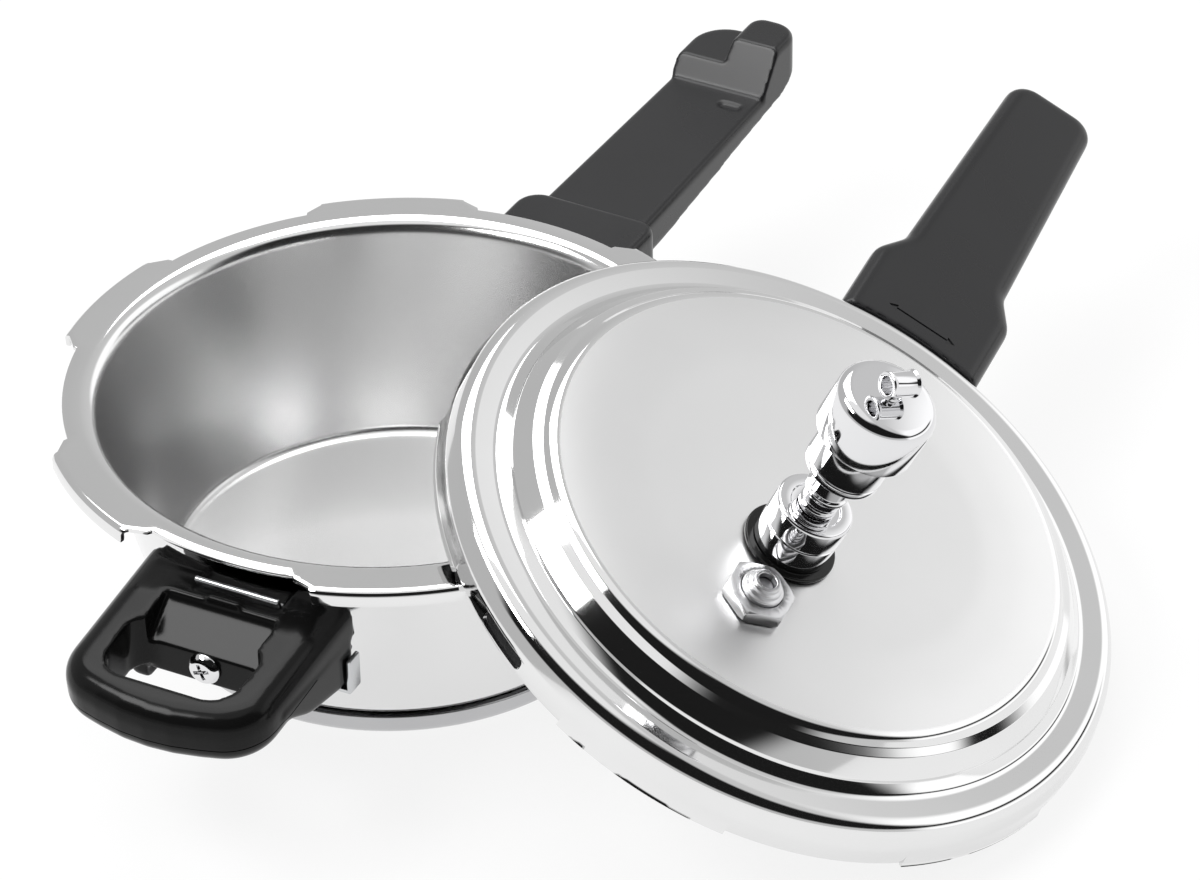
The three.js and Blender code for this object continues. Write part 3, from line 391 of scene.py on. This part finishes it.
def round_part(name, section, place, body, slot, *nodes, steps=96, closed=True, step=15, angle=30):
    piece = spun(name, section, steps, closed, step)
    smooth(piece, angle)
    put(piece, place)
    belongs(piece, body, slot, *nodes)


round_part("sealing_ring", [
    (89, -2.5, 0.8), (89, -6.4, 1), (94.7, -6.4, 0.5), (96, -7.7, 0.5), (99.9, -7.7, 0.8),
    (99.9, -6.4, 0.8), (96, -2.5, 0.8)],
    LID_PLACE, "lid", "black_rubber", "gasket", steps=160, step=20, angle=35)

# %% [markdown]
# ## Vent and collar
# These are turned on a lathe from bar and plated. The tube stands on a dark seal, and the round
# collar covers its thread. Grooves and small chamfers come from the lathe tool.

# %% Vent pieces
COLLAR_TOP = 18.1
VENT_PLACE = LID_PLACE @ shift(z=CROWN) @ shift(-20)
NECK_PLACE = VENT_PLACE @ shift(z=COLLAR_TOP)

round_part("vent_seal", [(5.3, 0.3), (13.5, 0.3, 0.5), (13.5, 1.8, 0.6), (5.3, 1.8)],
           VENT_PLACE, "lid", "black_rubber", "vent_washer")
round_part("vent_ring", [
    (5.3, 2.1), (11.2, 2.1, 0.3), (11.2, 9.7, 0.15), (10.6, 10.1, 0.15), (11.2, 10.5, 0.15),
    (11.2, COLLAR_TOP, 0.9), (7.6, COLLAR_TOP, 0.3), (7.2, COLLAR_TOP - 0.5, 0.2), (5.3, COLLAR_TOP - 0.5)],
    VENT_PLACE, "lid", "plated_brass", "vent_collar")
round_part("vent_stem", [
    (1.6, -12 - COLLAR_TOP), (5, -12 - COLLAR_TOP, 0.5), (5, 0.3), (5.6, 0.3, 0.3), (5.6, 2, 0.3),
    (5.1, 2.5, 0.2), (5.1, 3.4, 0.2), (5.6, 3.9, 0.3), (5.6, 6, 0.2), (6.4, 6.6, 0.4), (6.4, 7.8, 0.4),
    (5.6, 8.3, 0.3), (5.6, 18.6, 0.6), (3.6, 21, 0.3), (1.6, 21)],
    NECK_PLACE, "lid", "plated_brass", "vent_tube")

# %% [markdown]
# ## The weight
# The weight sits loose on the vent tube and lifts when the pan is under pressure. It is a turned
# barrel with a wider cap, whose upper edge is well rounded. Heights count from the collar's top.

# %% Weight
round_part("weight_barrel", [
    (6.8, 16), (10.3, 16, 0.3), (11, 16.7, 0.4), (11, 18.4, 0.15), (10.4, 18.8, 0.15), (11, 19.2, 0.15),
    (11, 30), (9, 30), (9, 41), (2.3, 41), (2.3, 22.6), (6.8, 22.6)],
    NECK_PLACE, "weight", "plated_brass", "weight_body")
round_part("weight_head", [
    (9.3, 30.3), (13.9, 30.3, 0.3), (14.4, 30.8, 0.3), (14.4, 46.9, 3.4), (0, 46.9), (0, 41.3), (9.3, 41.3)],
    NECK_PLACE, "weight", "plated_brass", "weight_cap")

# %% [markdown]
# The small eye on top lets a fork lift the hot weight. It is a short drilled barrel, wider at
# both ends, on a low foot. It is spun round its own axis and then laid across the cap.

# %% Lift eye
EYE_PLACE = NECK_PLACE @ rotate(-40, "Z") @ shift(z=52.2) @ rotate(90, "Y")

round_part("weight_eye", [
    (2.5, -4.5, 0.3), (3.7, -4.5, 0.3), (4, -4.1, 0.3), (3.5, -3.2, 0.5), (3.5, 3.2, 0.5), (4, 4.1, 0.3),
    (3.7, 4.5, 0.3), (2.5, 4.5, 0.3)],
    EYE_PLACE, "weight", "plated_brass", "lift_eye", steps=64, step=20)
round_part("weight_eye_foot", [(0, 47), (2.1, 47, 0.2), (1.8, 47.8, 0.4), (1.8, 49.2), (0, 49.2)],
           NECK_PLACE, "weight", "plated_brass", steps=48, closed=False, step=20)

# %% [markdown]
# ## The safety plug
# A hollow stud with a soft alloy core is held by a hexagon nut. The nut's corners are turned off,
# which leaves the usual curved line on each flat. Where a cone meets the hexagon, it gives just that.

# %% Safety nut and stud
PLUG_PLACE = LID_PLACE @ shift(z=CROWN) @ shift(-45)
NUT_FLATS = 18
NUT_HEIGHT = 4
NUT_MIDDLE = 2.3

clear_selection()
bpy.ops.mesh.primitive_cylinder_add(
    vertices=6, radius=NUT_FLATS / 3 ** 0.5 * MM, depth=NUT_HEIGHT * MM, location=(0, 0, NUT_MIDDLE * MM))
nut = bpy.context.object
nut.name = nut.data.name = "plug_nut"
bpy.ops.object.transform_apply(location=True, rotation=True, scale=True)
put(nut, rotate(30, "Z"))
blank = spun("nut_blank", [(0, 0.2), (9.4, 0.2), (10.6, 1), (10.6, 3.5), (9.2, 4.3), (0, 4.3)], 96)
combine(nut, blank, "INTERSECT")
cut(nut, spun("nut_hole", [(0, -1), (6.25, -1), (6.25, 6), (0, 6)], 64))
soften(nut, 0.15, 2, 30)
smooth(nut, 30)
put(nut, PLUG_PLACE)
belongs(nut, "lid", "plated_brass", "safety_nut")
round_part("plug_stud", [
    (2.6, -7), (9, -7, 0.4), (9, -4.5, 0.4), (6, -4.5), (6, 5.6, 0.4), (5, 5.8, 0.2), (5, 7, 0.4),
    (4, 7.2, 0.2), (4, 8.5, 0.5), (2.6, 8.5, 0.3)],
    PLUG_PLACE, "lid", "plated_brass", "safety_plug")

# %% [markdown]
# ## Moulded handles
# The handles are pressed from black phenolic resin. A mould leaves even, soft edges everywhere, also
# where two shapes meet, so the blocks of a handle are united, remeshed to one skin and relaxed.

# %% Tools for moulded pieces
PAN_GAP = 2.1  # room between the pan's wall and a handle


def block(name, outline, low, high, edge=0, segments=4):
    """An outline in plan, raised from low to high, with rounded edges."""
    line = rounded(outline, True)
    line.append(line[0])
    piece = trace(name, [Vector((p.x, p.y, low)) * MM for p in line])
    bpy.ops.mesh.select_all(action="SELECT")
    bpy.ops.mesh.remove_doubles(threshold=WELD)
    bpy.ops.mesh.edge_face_add()
    bpy.ops.mesh.extrude_region_move(TRANSFORM_OT_translate={"value": (0, 0, (high - low) * MM)})
    tidy_faces()
    bpy.ops.object.mode_set(mode="OBJECT")
    if edge:
        soften(piece, edge, segments, 60)
    return piece


def side_block(name, outline, half):
    """An outline in (x, z), as thick along Y as twice the half width."""
    piece = block(name, outline, -half, half)
    put(piece, rotate(90, "X"))
    return piece


def moulded(name, piece, voxel, relax):
    """One even skin over the whole piece, relaxed a number of times."""
    piece.name = piece.data.name = name
    apply(piece, "REMESH", mode="VOXEL", voxel_size=voxel * MM)
    apply(piece, "SMOOTH", factor=0.5, iterations=relax)
    bpy.ops.object.shade_smooth()


def pan_room(name):
    """The room that the pan's wall and flange take, with the gap."""
    return spun(name, [
        (0, -5), (66.4 + PAN_GAP, -5), (86 + PAN_GAP, 71.2), (93.8, 71.2), (93.8, 75), (0, 75)], 120)


# %% [markdown]
# The long handle has a block at the pan, a flat grip and a raised nose with a catch on one side.
# The underside thins towards the end and is hollow, which keeps the moulding from sinking.

# %% Main handle
main = block("main_block", [(75, -22.8), (121, -22.8, 6), (121, 22.8, 8), (75, 22.8)], 41, 64, 2.2)
for part in (
    block("main_grip", [
        (75, -18), (121, -18), (206, -16.5), (229, -16.5, 8), (229, 16.5, 10), (206, 16.5), (121, 18),
        (75, 18)], 49, 61, 2),
    block("main_nose", [(202, -16.5), (229, -16.5, 8), (229, 16.5, 12), (202, 16.5)], 50, 67.5, 2),
    block("main_catch", [(202, -16.5), (229, -16.5, 8), (229, 0, 5), (202, 0)], 50, 74, 2.2),
):
    combine(main, part, "UNION")
cut(main, side_block("main_under", [
    (121.3, 30), (240, 30), (240, 66), (229, 63.5), (222, 58.6, 8), (215, 56, 10), (121.3, 49)], 25))
cut(main, side_block("main_slope", [(190, 61.05), (202.5, 61.05), (215, 76), (190, 76)], 30))
cut(main, pan_room("main_room"))
cut(main, block("main_hollow", [(86, -13), (183, -13, 3.5), (183, 13, 3.5), (86, 13)], 39, 57.5))
cut(main, block("main_mark", [
    (193, -12.5, 1.8), (197, -12.5, 1.8), (197, -4.5, 1.8), (193, -4.5, 1.8)], 60.2, 62))
moulded("main_grip_moulding", main, 0.55, 7)
belongs(main, "pan", "black_phenolic", "main_handle")

# %% [markdown]
# The short handle opposite is a loop for the fingers that falls a little to its front. A rear wall
# and a heel carry it at the pan, and a cheek on each side runs down to them. It is modelled along X.
# The second cheek is a copy of the first, with its own mesh.

# %% Helper handle, its solids
CHEEK_SIDE = 28.2
LOOP_FALL = shift(76, 0, 63) @ rotate(5, "Y") @ shift(-76, 0, -63)


def copied(piece, place):
    pick(piece)
    bpy.ops.object.duplicate()
    other = bpy.context.object
    put(other, place)
    return other


helper = block("helper_loop", [
    (60, -32.5), (137.5, -31.5, 15), (146, 0, 60), (137.5, 31.5, 15), (60, 32.5)], 46.5, 63.3, 6.5, 8)
put(helper, LOOP_FALL)
rear = block("helper_rear", [(83, -32), (109, -25, 4), (109, 25, 4), (83, 32)], 37, 53, 2)
heel = block("helper_heel", [(74, -27), (90, -27), (90, 27), (74, 27)], 38, 62.5, 1.5)
nail = block("helper_nail", [(94, -5.2), (101, -5.2, 4.8), (101, 5.2, 4.8), (94, 5.2)], 58, 62.6, 0.5)
cheek = side_block("helper_cheek", [(84, 37.5), (91, 37.5), (108, 41, 20), (123, 49), (123, 52), (84, 52)], 4)
soften(cheek, 1.5, 3, 60)
put(cheek, shift(y=CHEEK_SIDE))
other_cheek = copied(cheek, shift(y=-2 * CHEEK_SIDE))
for part in (rear, heel, nail, cheek, other_cheek):
    combine(helper, part, "UNION")
print("helper solids united, faces:", len(helper.data.polygons))

# %% [markdown]
# Now the openings: the corners beside the heel, an arch underneath, the finger gap, the room of the
# pan's wall, a scoop for the screw and a notch for the clip. After the skin is relaxed, a fine
# groove is cut round the loop: the seam where the two halves of the mould met.

# %% Helper handle, its openings
HELPER_PLACE = rotate(182.3, "Z")

for side in (-1, 1):
    corner = [(50, 27 * side), (83, 27 * side), (83, 45 * side), (50, 45 * side)]
    cut(helper, block("helper_corner", corner, 30, 80))
cut(helper, block("helper_arch", [(93, -19), (120, -19), (120, 19), (93, 19)], 30, 41.8))
cut(helper, block("helper_gap", [(109, -21, 7), (132.6, -20, 8), (132.6, 20, 8), (109, 21, 7)], 20, 90))
cut(helper, pan_room("helper_room"))
scoop = side_block("helper_scoop", [(98, 70), (98, 60, 4), (109, 51.5), (110, 51.5), (110, 70)], 17.5)
soften(scoop, 3, 4, 60)
cut(helper, scoop)
cut(helper, block("helper_notch", [(80, -10.8), (95.6, -10.8, 1), (95.6, 15.8, 1), (80, 15.8)], 61.2, 80))
moulded("helper_moulding", helper, 0.5, 12)
seam = block("helper_seam", [
    (105, -40), (160, -40), (160, 40), (105, 40), (105, 30.9), (137.2, 30.6, 14.2), (145, 0, 60),
    (137.2, -30.6, 14.2), (105, -30.9)], 52.6, 52.95)
put(seam, LOOP_FALL)
cut(helper, seam)
smooth(helper, 40)
put(helper, HELPER_PLACE)
belongs(helper, "pan", "black_phenolic", "helper_handle")

# %% [markdown]
# A bent strap holds the helper handle: it hugs the wall, its ends grip the handle's sides, and a
# spring clip with a rolled edge comes up at the rim. The strap is cut from a ring that fits the wall,
# and the second ear is the first one turned over.

# %% Helper bracket
CLIP_HALF = 13
CLIP_SIDE = 2.5


def joined(name, pieces):
    """One object from several, made of the first one."""
    clear_selection()
    for piece in pieces:
        piece.select_set(True)
    bpy.context.view_layer.objects.active = pieces[0]
    bpy.ops.object.join()
    pieces[0].name = pieces[0].data.name = name
    return pieces[0]


strap = spun("wall_strap", [(76.9, 34.5), (78.4, 34.5), (81.5, 46.5), (80, 46.5)], 120, closed=True)
combine(strap, block("strap_window", [(60, -20), (90, -20), (90, 20), (60, 20)], 30, 50), "INTERSECT")
ear = block("strap_ear", [
    (83.5, 32.5), (89.5, 32.5, 0.5), (89.5, 34, 0.8), (83.5, 34, 0.8)], 35.5, 46.2, 0.4, 2)
other_ear = copied(ear, shift(z=81.7) @ rotate(180, "X"))
sole = block("strap_sole", [
    (78, -27), (83.5, -27), (83.5, -33.7), (89.5, -33.7), (89.5, 33.7), (83.5, 33.7), (83.5, 27), (78, 27)],
    35.2, 36.4, 0.3, 2)
plate = side_block("clip_plate", [
    (90.8, 60.6), (93.2, 60.6, 1), (94.2, 64, 0.5), (93.4, 64.2, 0.4), (92.4, 61.4, 0.5), (90.8, 61.4)],
    CLIP_HALF)
put(plate, shift(y=CLIP_SIDE))
roll = spun("clip_roll", [
    (0, -CLIP_HALF), (0.9, -CLIP_HALF, 0.3), (0.9, CLIP_HALF, 0.3), (0, CLIP_HALF)], 32, step=20)
put(roll, shift(94, CLIP_SIDE, 64.2) @ rotate(90, "X"))
strap = joined("helper_bracket_sheet", [strap, ear, other_ear, sole, plate, roll])
smooth(strap, 30)
put(strap, HELPER_PLACE)
belongs(strap, "pan", "bracket_steel", "helper_handle_bracket")

# %% [markdown]
# The handle on the lid is wide at the skirt and narrows in a soft S to the grip. Its edges are well
# rounded, its underside is hollow, and a pocket takes the bracket. The arrow that shows the turn is
# cut after the skin is relaxed, so that it stays crisp.

# %% Lid handle
grip = block("lid_grip", [
    (95.5, -23.5), (129, -23.5, 10), (140, -17.5, 10), (234.6, -14.6, 8), (234.6, 14.6, 8), (140, 17.5, 10),
    (129, 23.5, 10), (95.5, 23.5)], -13.4, -1.4, 4, 6)
cut(grip, spun("skirt_room", [(0, -30), (101.4, -30), (101.4, 20), (0, 20)], 160))
cut(grip, block("grip_hollow", [
    (152.5, -11.6, 2), (227, -11.6, 2), (227, 11.6, 2), (152.5, 11.6, 2)], -20, -4.4))
cut(grip, block("grip_pocket", [(101, -8.3), (149.8, -8.3), (149.8, 8.3), (101, 8.3)], -20, -4.4))
moulded("lid_grip_moulding", grip, 0.55, 5)
cut(grip, block("turn_arrow", [
    (107.5, -11.5), (109, -8.7), (107.85, -8.7), (107.85, 8.7), (109, 8.7), (107.5, 11.5), (106, 8.7),
    (107.15, 8.7), (107.15, -8.7), (106, -8.7)], -1.8, 0))
smooth(grip, 40)
put(grip, LID_PLACE)
belongs(grip, "lid", "black_phenolic", "lid_handle")

# %% [markdown]
# The screw in the finger gap is easy to see: a low domed head with a cross for the driver.
# The head is spun and two crossed bars are cut out of it.

# %% Cross-head screw
CROSS_TURN = 20

shank = spun("screw_shank", [(0, 0), (2, 0), (2, -8), (0, -8)], 48)
head = spun("screw_head", [(0, 2.5), (3.7, 2.2, 2), (4.8, 0.6, 0.6), (4.8, 0, 0.2), (0, 0)], 64, step=12)
for quarter in (0, 90):
    bar = box("cross_bar", (5, 1.1, 2.4))
    put(bar, rotate(quarter + CROSS_TURN, "Z") @ shift(z=2.3))
    cut(head, bar)
screw = joined("helper_cross_screw", [head, shank])
soften(screw, 0.12, 2, 40)
smooth(screw, 30)
put(screw, HELPER_PLACE @ shift(109.3, 0, 47.5) @ rotate(90, "Y"))
belongs(screw, "pan", "plated_brass", "helper_handle_screw")

# %% [markdown]
# ## Finishes
# No real surface is quite even. A slow cloud lets colour and roughness drift, and a fine grain gives
# a moulded or brushed face its bite. All finishes share this effect, so it is one node group,
# and it takes its pattern from object coordinates, without any picture.

# %% Shared effect: fine wear


def node(tree, kind, inputs, **settings):
    """A new node; each input gets a constant or the socket that feeds it."""
    made = tree.nodes.new(kind)
    for key, value in settings.items():
        setattr(made, key, value)
    for key, value in inputs.items():
        if isinstance(value, bpy.types.NodeSocket):
            tree.links.new(value, made.inputs[key])
        else:
            made.inputs[key].default_value = value
    return made


NOISES = {"Cloud": {"Scale": 28, "Detail": 3}, "Grain": {"Scale": 2600, "Detail": 2}}
WEAR = bpy.data.node_groups.new("fine_wear", "ShaderNodeTree")
for effect in NOISES:
    WEAR.interface.new_socket(effect, in_out="OUTPUT", socket_type="NodeSocketFloat")
wear_out = WEAR.nodes.new("NodeGroupOutput")
surface = node(WEAR, "ShaderNodeTexCoord", {}).outputs["Object"]
for effect, settings in NOISES.items():
    noise = node(WEAR, "ShaderNodeTexNoise", {"Vector": surface, **settings})
    WEAR.links.new(noise.outputs["Fac"], wear_out.inputs[effect])
print("wear nodes:", len(WEAR.nodes))

# %% [markdown]
# Polished steel is nearly a mirror, and a touch of haze is all that separates it from one. The
# plated pieces are sharper still. The resin is deep black with a soft gloss and a very fine grain.
# Each row holds a dark and a light colour, metal or not, the range of roughness and the grain.

# %% Finishes by slot
GRAIN_DEPTH = 0.00004  # metres


def finish(name, dark, light, metal, rough_low, rough_high, bump, specular=0.5):
    """A surface whose colour drifts from dark to light, with a drifting roughness and a fine grain."""
    material = bpy.data.materials.new(name)
    material.use_nodes = True
    tree = material.node_tree
    shader = tree.nodes["Principled BSDF"]
    shader.inputs["Metallic"].default_value = metal
    shader.inputs["Specular IOR Level"].default_value = specular
    wear = node(tree, "ShaderNodeGroup", {}, node_tree=WEAR)
    cloud, grain = wear.outputs["Cloud"], wear.outputs["Grain"]
    ends = {"A": (*dark, 1), "B": (*light, 1)}
    colour = node(tree, "ShaderNodeMix", {"Factor": cloud, **ends}, data_type="RGBA")
    rough = node(tree, "ShaderNodeMapRange", {"Value": cloud, "To Min": rough_low, "To Max": rough_high})
    height = node(tree, "ShaderNodeBump", {"Height": grain, "Strength": bump, "Distance": GRAIN_DEPTH})
    tree.links.new(colour.outputs["Result"], shader.inputs["Base Color"])
    tree.links.new(rough.outputs["Result"], shader.inputs["Roughness"])
    tree.links.new(height.outputs["Normal"], shader.inputs["Normal"])
    return material


STEEL = ((0.77, 0.77, 0.77), (0.82, 0.82, 0.82), 1, 0.05, 0.08, 0)
FINISHES = {
    "polished_steel": STEEL,
    "bracket_steel": ((0.56, 0.57, 0.58), (0.64, 0.65, 0.66), 1, 0.18, 0.3, 0.1),
    "plated_brass": ((0.74, 0.74, 0.75), (0.8, 0.8, 0.81), 1, 0.03, 0.06, 0),
    "black_phenolic": ((0.009, 0.009, 0.01), (0.013, 0.013, 0.014), 0, 0.24, 0.32, 0.1, 0.38),
    "black_rubber": ((0.02, 0.02, 0.021), (0.03, 0.03, 0.032), 0, 0.55, 0.7, 0.3),
    "base_aluminium": ((0.58, 0.58, 0.6), (0.66, 0.66, 0.67), 1, 0.35, 0.45, 0.1),
    "fusible_alloy": ((0.22, 0.22, 0.23), (0.36, 0.36, 0.37), 1, 0.4, 0.55, 0.3),
}
FINISHES = {slot: finish(slot, *row) for slot, row in FINISHES.items()}
print("finishes by slot:", len(FINISHES))

# %% [markdown]
# The crown of the lid and the inside of the pan are brushed to a satin, and only the rest is
# polished. Each is a region inside a cone round the piece's own axis, where the roughness rises.
# In the mirror of another piece the crown still counts as polished, since it is seen there at a
# flat angle, where satin shines too.

# %% Satin regions
SATIN_EDGE = 0.6  # half the width over which satin turns to polish


def fade(tree, value, start, end):
    """A soft step from 0 at the start to 1 at the end."""
    inputs = {"Value": value, "From Min": start, "From Max": end}
    return node(tree, "ShaderNodeMapRange", inputs, interpolation_type="SMOOTHSTEP").outputs["Result"]


def calc(tree, operation, *values):
    return node(tree, "ShaderNodeMath", dict(enumerate(values)), operation=operation).outputs[0]


def vector_calc(tree, operation, result, *values):
    return node(tree, "ShaderNodeVectorMath", dict(enumerate(values)), operation=operation).outputs[result]


def satin(material, limit, rough, place=Matrix(), lean=0, direct=False):
    """Satin inside a cone round the place's Z axis; limit is its radius there, lean its growth with height.
    With direct, other pieces still mirror it as polished."""
    tree = material.node_tree
    roughness = tree.nodes["Principled BSDF"].inputs["Roughness"]
    axis = place.col[2].xyz
    surface = node(tree, "ShaderNodeTexCoord", {}).outputs["Object"]
    arm = vector_calc(tree, "SUBTRACT", "Vector", surface, place.translation)
    across = vector_calc(tree, "CROSS_PRODUCT", "Vector", arm, axis)
    far = vector_calc(tree, "LENGTH", "Value", across)
    high = vector_calc(tree, "DOT_PRODUCT", "Value", arm, axis)
    reach = calc(tree, "MULTIPLY_ADD", high, -lean, far)
    inside = fade(tree, reach, (limit + SATIN_EDGE) * MM, (limit - SATIN_EDGE) * MM)
    if direct:
        path = node(tree, "ShaderNodeLightPath", {})
        inside = calc(tree, "MULTIPLY", inside, path.outputs["Is Camera Ray"])
    polish = roughness.links[0].from_socket
    mixed = node(tree, "ShaderNodeMix", {"Factor": inside, "A": polish, "B": rough})
    tree.links.new(mixed.outputs["Result"], roughness)
    return material


PAN_STEEL = satin(finish("pan_steel", *STEEL), 66.9, 0.24, lean=0.2557)
LID_STEEL = satin(finish("lid_steel", *STEEL), 75.5, 0.32, LID_PLACE, direct=True)
print("satin on:", PAN_STEEL.name, LID_STEEL.name)

# %% [markdown]
# Some pieces differ from others of their slot: the nut and the stud are brushed, the base cap is
# duller, the vent's seal and the loop handle shine more. Both are also a darker black than their slot;
# on the loop handle this darker black is painted shade. They get a finish of their own, and every
# other piece takes the finish of its slot.

# %% Finish of every piece
OWN = {
    "pan_shell": PAN_STEEL,
    "lid_dome": LID_STEEL,
    "base_cup": finish("base_steel", (0.5, 0.5, 0.51), (0.58, 0.58, 0.59), 1, 0.2, 0.3, 0.05),
    "plug_nut": finish("brushed_nut", (0.6, 0.6, 0.61), (0.72, 0.72, 0.73), 1, 0.26, 0.36, 0.25),
    "plug_stud": finish("brushed_stud", (0.62, 0.62, 0.63), (0.74, 0.74, 0.75), 1, 0.24, 0.32, 0.15),
}
# A darker black than the slots give; on the loop handle the difference is painted shade.
DARKER_BLACK = ((0.004, 0.004, 0.004), (0.007, 0.007, 0.007), 0)
OWN["vent_seal"] = finish("glossy_rubber", *DARKER_BLACK, 0.12, 0.2, 0.05, 0.3)
# Painted shade: the loop handle gets a darker black than the other handles, and its lower roughness is real
# gloss.
OWN["helper_moulding"] = finish("glossy_phenolic_painted_shade", *DARKER_BLACK, 0.14, 0.2, 0.05, 0.16)
slot_of = {s["node"]: s["material_slot"] for s in frame["record"]["subparts"]}
for piece in [o for o in bpy.data.objects if o.type == "MESH"]:
    slot = piece.get("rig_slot") or slot_of.get(piece.get("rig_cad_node"))
    piece.data.materials.clear()
    piece.data.materials.append(OWN.get(piece.name) or FINISHES[slot])
print("pieces with a finish of their own:", len(OWN))

# %% [markdown]
# ## Studio floor
# A pale sheet of paper runs far back. To the camera and in mirrors it glows nearly white, as an
# overlit studio floor does, while a soft shadow of the part still shows on it.

# %% Floor
PAPER_GLOW = 0.85

clear_selection()
bpy.ops.mesh.primitive_plane_add(size=12)
floor = bpy.context.object
floor.name = "floor"
paper = bpy.data.materials.new("floor_paper")
paper.use_nodes = True
tree = paper.node_tree
tree.nodes.clear()
path = node(tree, "ShaderNodeLightPath", {})
seen = calc(tree, "MAXIMUM", path.outputs["Is Camera Ray"], path.outputs["Is Glossy Ray"])
share = calc(tree, "MULTIPLY", seen, PAPER_GLOW)
diffuse = node(tree, "ShaderNodeBsdfDiffuse", {"Color": (0.9, 0.9, 0.9, 1)})
glow = node(tree, "ShaderNodeEmission", {})
mixed = node(tree, "ShaderNodeMixShader", {"Fac": share, 1: diffuse.outputs[0], 2: glow.outputs[0]})
node(tree, "ShaderNodeOutputMaterial", {"Surface": mixed.outputs[0]})
floor.data.materials.append(paper)
print("floor nodes:", len(tree.nodes))

# %% [markdown]
# ## The dark side of the room
# Polished metal shows what it mirrors, and its form is read from dark bands. So the side where the
# viewer stands is kept dark, as in a real studio, up to near the ceiling, and so is a low strip
# beside it. Just over the floor the dark fades out.

# %% Dark side
world = bpy.data.worlds.new("studio_room")
bpy.context.scene.world = world
world.use_nodes = True
room = world.node_tree
room.nodes.clear()
where = node(room, "ShaderNodeTexCoord", {}).outputs["Generated"]
split = node(room, "ShaderNodeSeparateXYZ", {0: where})
sideways, upward = split.outputs["Y"], split.outputs["Z"]
towards = vector_calc(room, "DOT_PRODUCT", "Value", where, (-0.874, -0.486, 0))
viewer_dark = calc(room, "MULTIPLY", fade(room, towards, 0.1, 0.3), fade(room, upward, 0.93, 0.84))
side_dark = calc(room, "MULTIPLY", fade(room, sideways, -0.45, -0.55), fade(room, upward, 0.37, 0.31))
dark = calc(room, "MAXIMUM", viewer_dark, side_dark)
dark = calc(room, "MULTIPLY", dark, fade(room, upward, 0.14, 0.26))
print("room nodes for the dark side:", len(room.nodes))

# %% [markdown]
# ## Walls, ceiling and air
# The other walls grow lighter towards one corner, where a bright screen stands, and the ceiling is
# white. Mirrors see all of this, the camera sees plain white, and everything else gets an even light.

# %% Walls and ceiling
CEILING = 1.2
DARKEST = 0.015
EVEN_LIGHT = 0.75

screen = vector_calc(room, "DOT_PRODUCT", "Value", where, (0.707, -0.707, 0))
walls = node(room, "ShaderNodeValToRGB", {"Fac": screen})
shades = walls.color_ramp.elements
for place, value in ((0, 0.7), (0.23, 0.74), (0.7, 0.86), (0.78, 1.6), (1, 1.6)):
    shade = shades[0] if place == 0 else shades[-1] if place == 1 else shades.new(place)
    shade.color = (value, value, value, 1)
ceiling = node(room, "ShaderNodeMapRange", {
    "Value": upward, "From Min": 0.74, "From Max": 0.92, "To Max": CEILING})
bright = calc(room, "MAXIMUM", walls.outputs["Color"], ceiling.outputs["Result"])
mirrored = node(room, "ShaderNodeMapRange", {"Value": dark, "To Min": bright, "To Max": DARKEST})
path = node(room, "ShaderNodeLightPath", {})
level = node(room, "ShaderNodeMix", {
    "Factor": path.outputs["Is Glossy Ray"], "A": EVEN_LIGHT, "B": mirrored.outputs["Result"]})
strength = calc(room, "MAXIMUM", level.outputs["Result"], path.outputs["Is Camera Ray"])
air = node(room, "ShaderNodeBackground", {"Strength": strength})
node(room, "ShaderNodeOutputWorld", {"Surface": air.outputs[0]})
print("room nodes:", len(room.nodes))

# %% [markdown]
# ## Lamps
# A wide lamp over the far side gives the soft shadow on the floor. A longer one, high behind the
# loop handle, puts a gleam on its black edges.

# %% Lamps


def area_lamp(name, place, target, shape, sides, energy):
    clear_selection()
    bpy.ops.object.light_add(type="AREA", location=place)
    lamp = bpy.context.object
    lamp.name = name
    lamp.data.shape = shape
    lamp.data.size, lamp.data.size_y = sides
    lamp.data.energy = energy
    lamp.rotation_euler = (Vector(target) - lamp.location).to_track_quat("-Z", "Y").to_euler()
    print(name, "watts:", energy)


area_lamp("soft_key", (0.5, 0.4, 1.5), (0, -0.05, 0.05), "SQUARE", (1.2, 1.2), 14)
area_lamp("strip_light", (-0.63, 0.55, 1.15), (-0.12, 0, 0.06), "RECTANGLE", (0.8, 0.4), 10)
bpy.context.scene.view_settings.view_transform = "Standard"

# %% [markdown]
# ## Camera
# The photo was taken from far off with a long lens, a little over thirty-five degrees above the table.
# The camera leans by about one degree, which the two rim circles show.

# %% Camera
CAMERA_ROLL = -1.147

camera_data = bpy.data.cameras.new("camera")
camera_data.lens = 150
camera_data.sensor_width = 36
camera = bpy.data.objects.new("camera", camera_data)
bpy.context.scene.collection.objects.link(camera)
aim = Vector((0.71210, 0.39635, -0.57950))
view = aim.to_track_quat("-Z", "Y").to_matrix().to_4x4() @ rotate(CAMERA_ROLL, "Z")
camera.matrix_world = Matrix.Translation((-0.99501, -0.62185, 0.88487)) @ view
bpy.context.scene.camera = camera
print("lens:", camera_data.lens)

# %% [markdown]
# ## The end
# Last, the scene is brought up to date. Every new piece was modelled at its frame node's place.

# %% The end
bpy.context.view_layer.update()
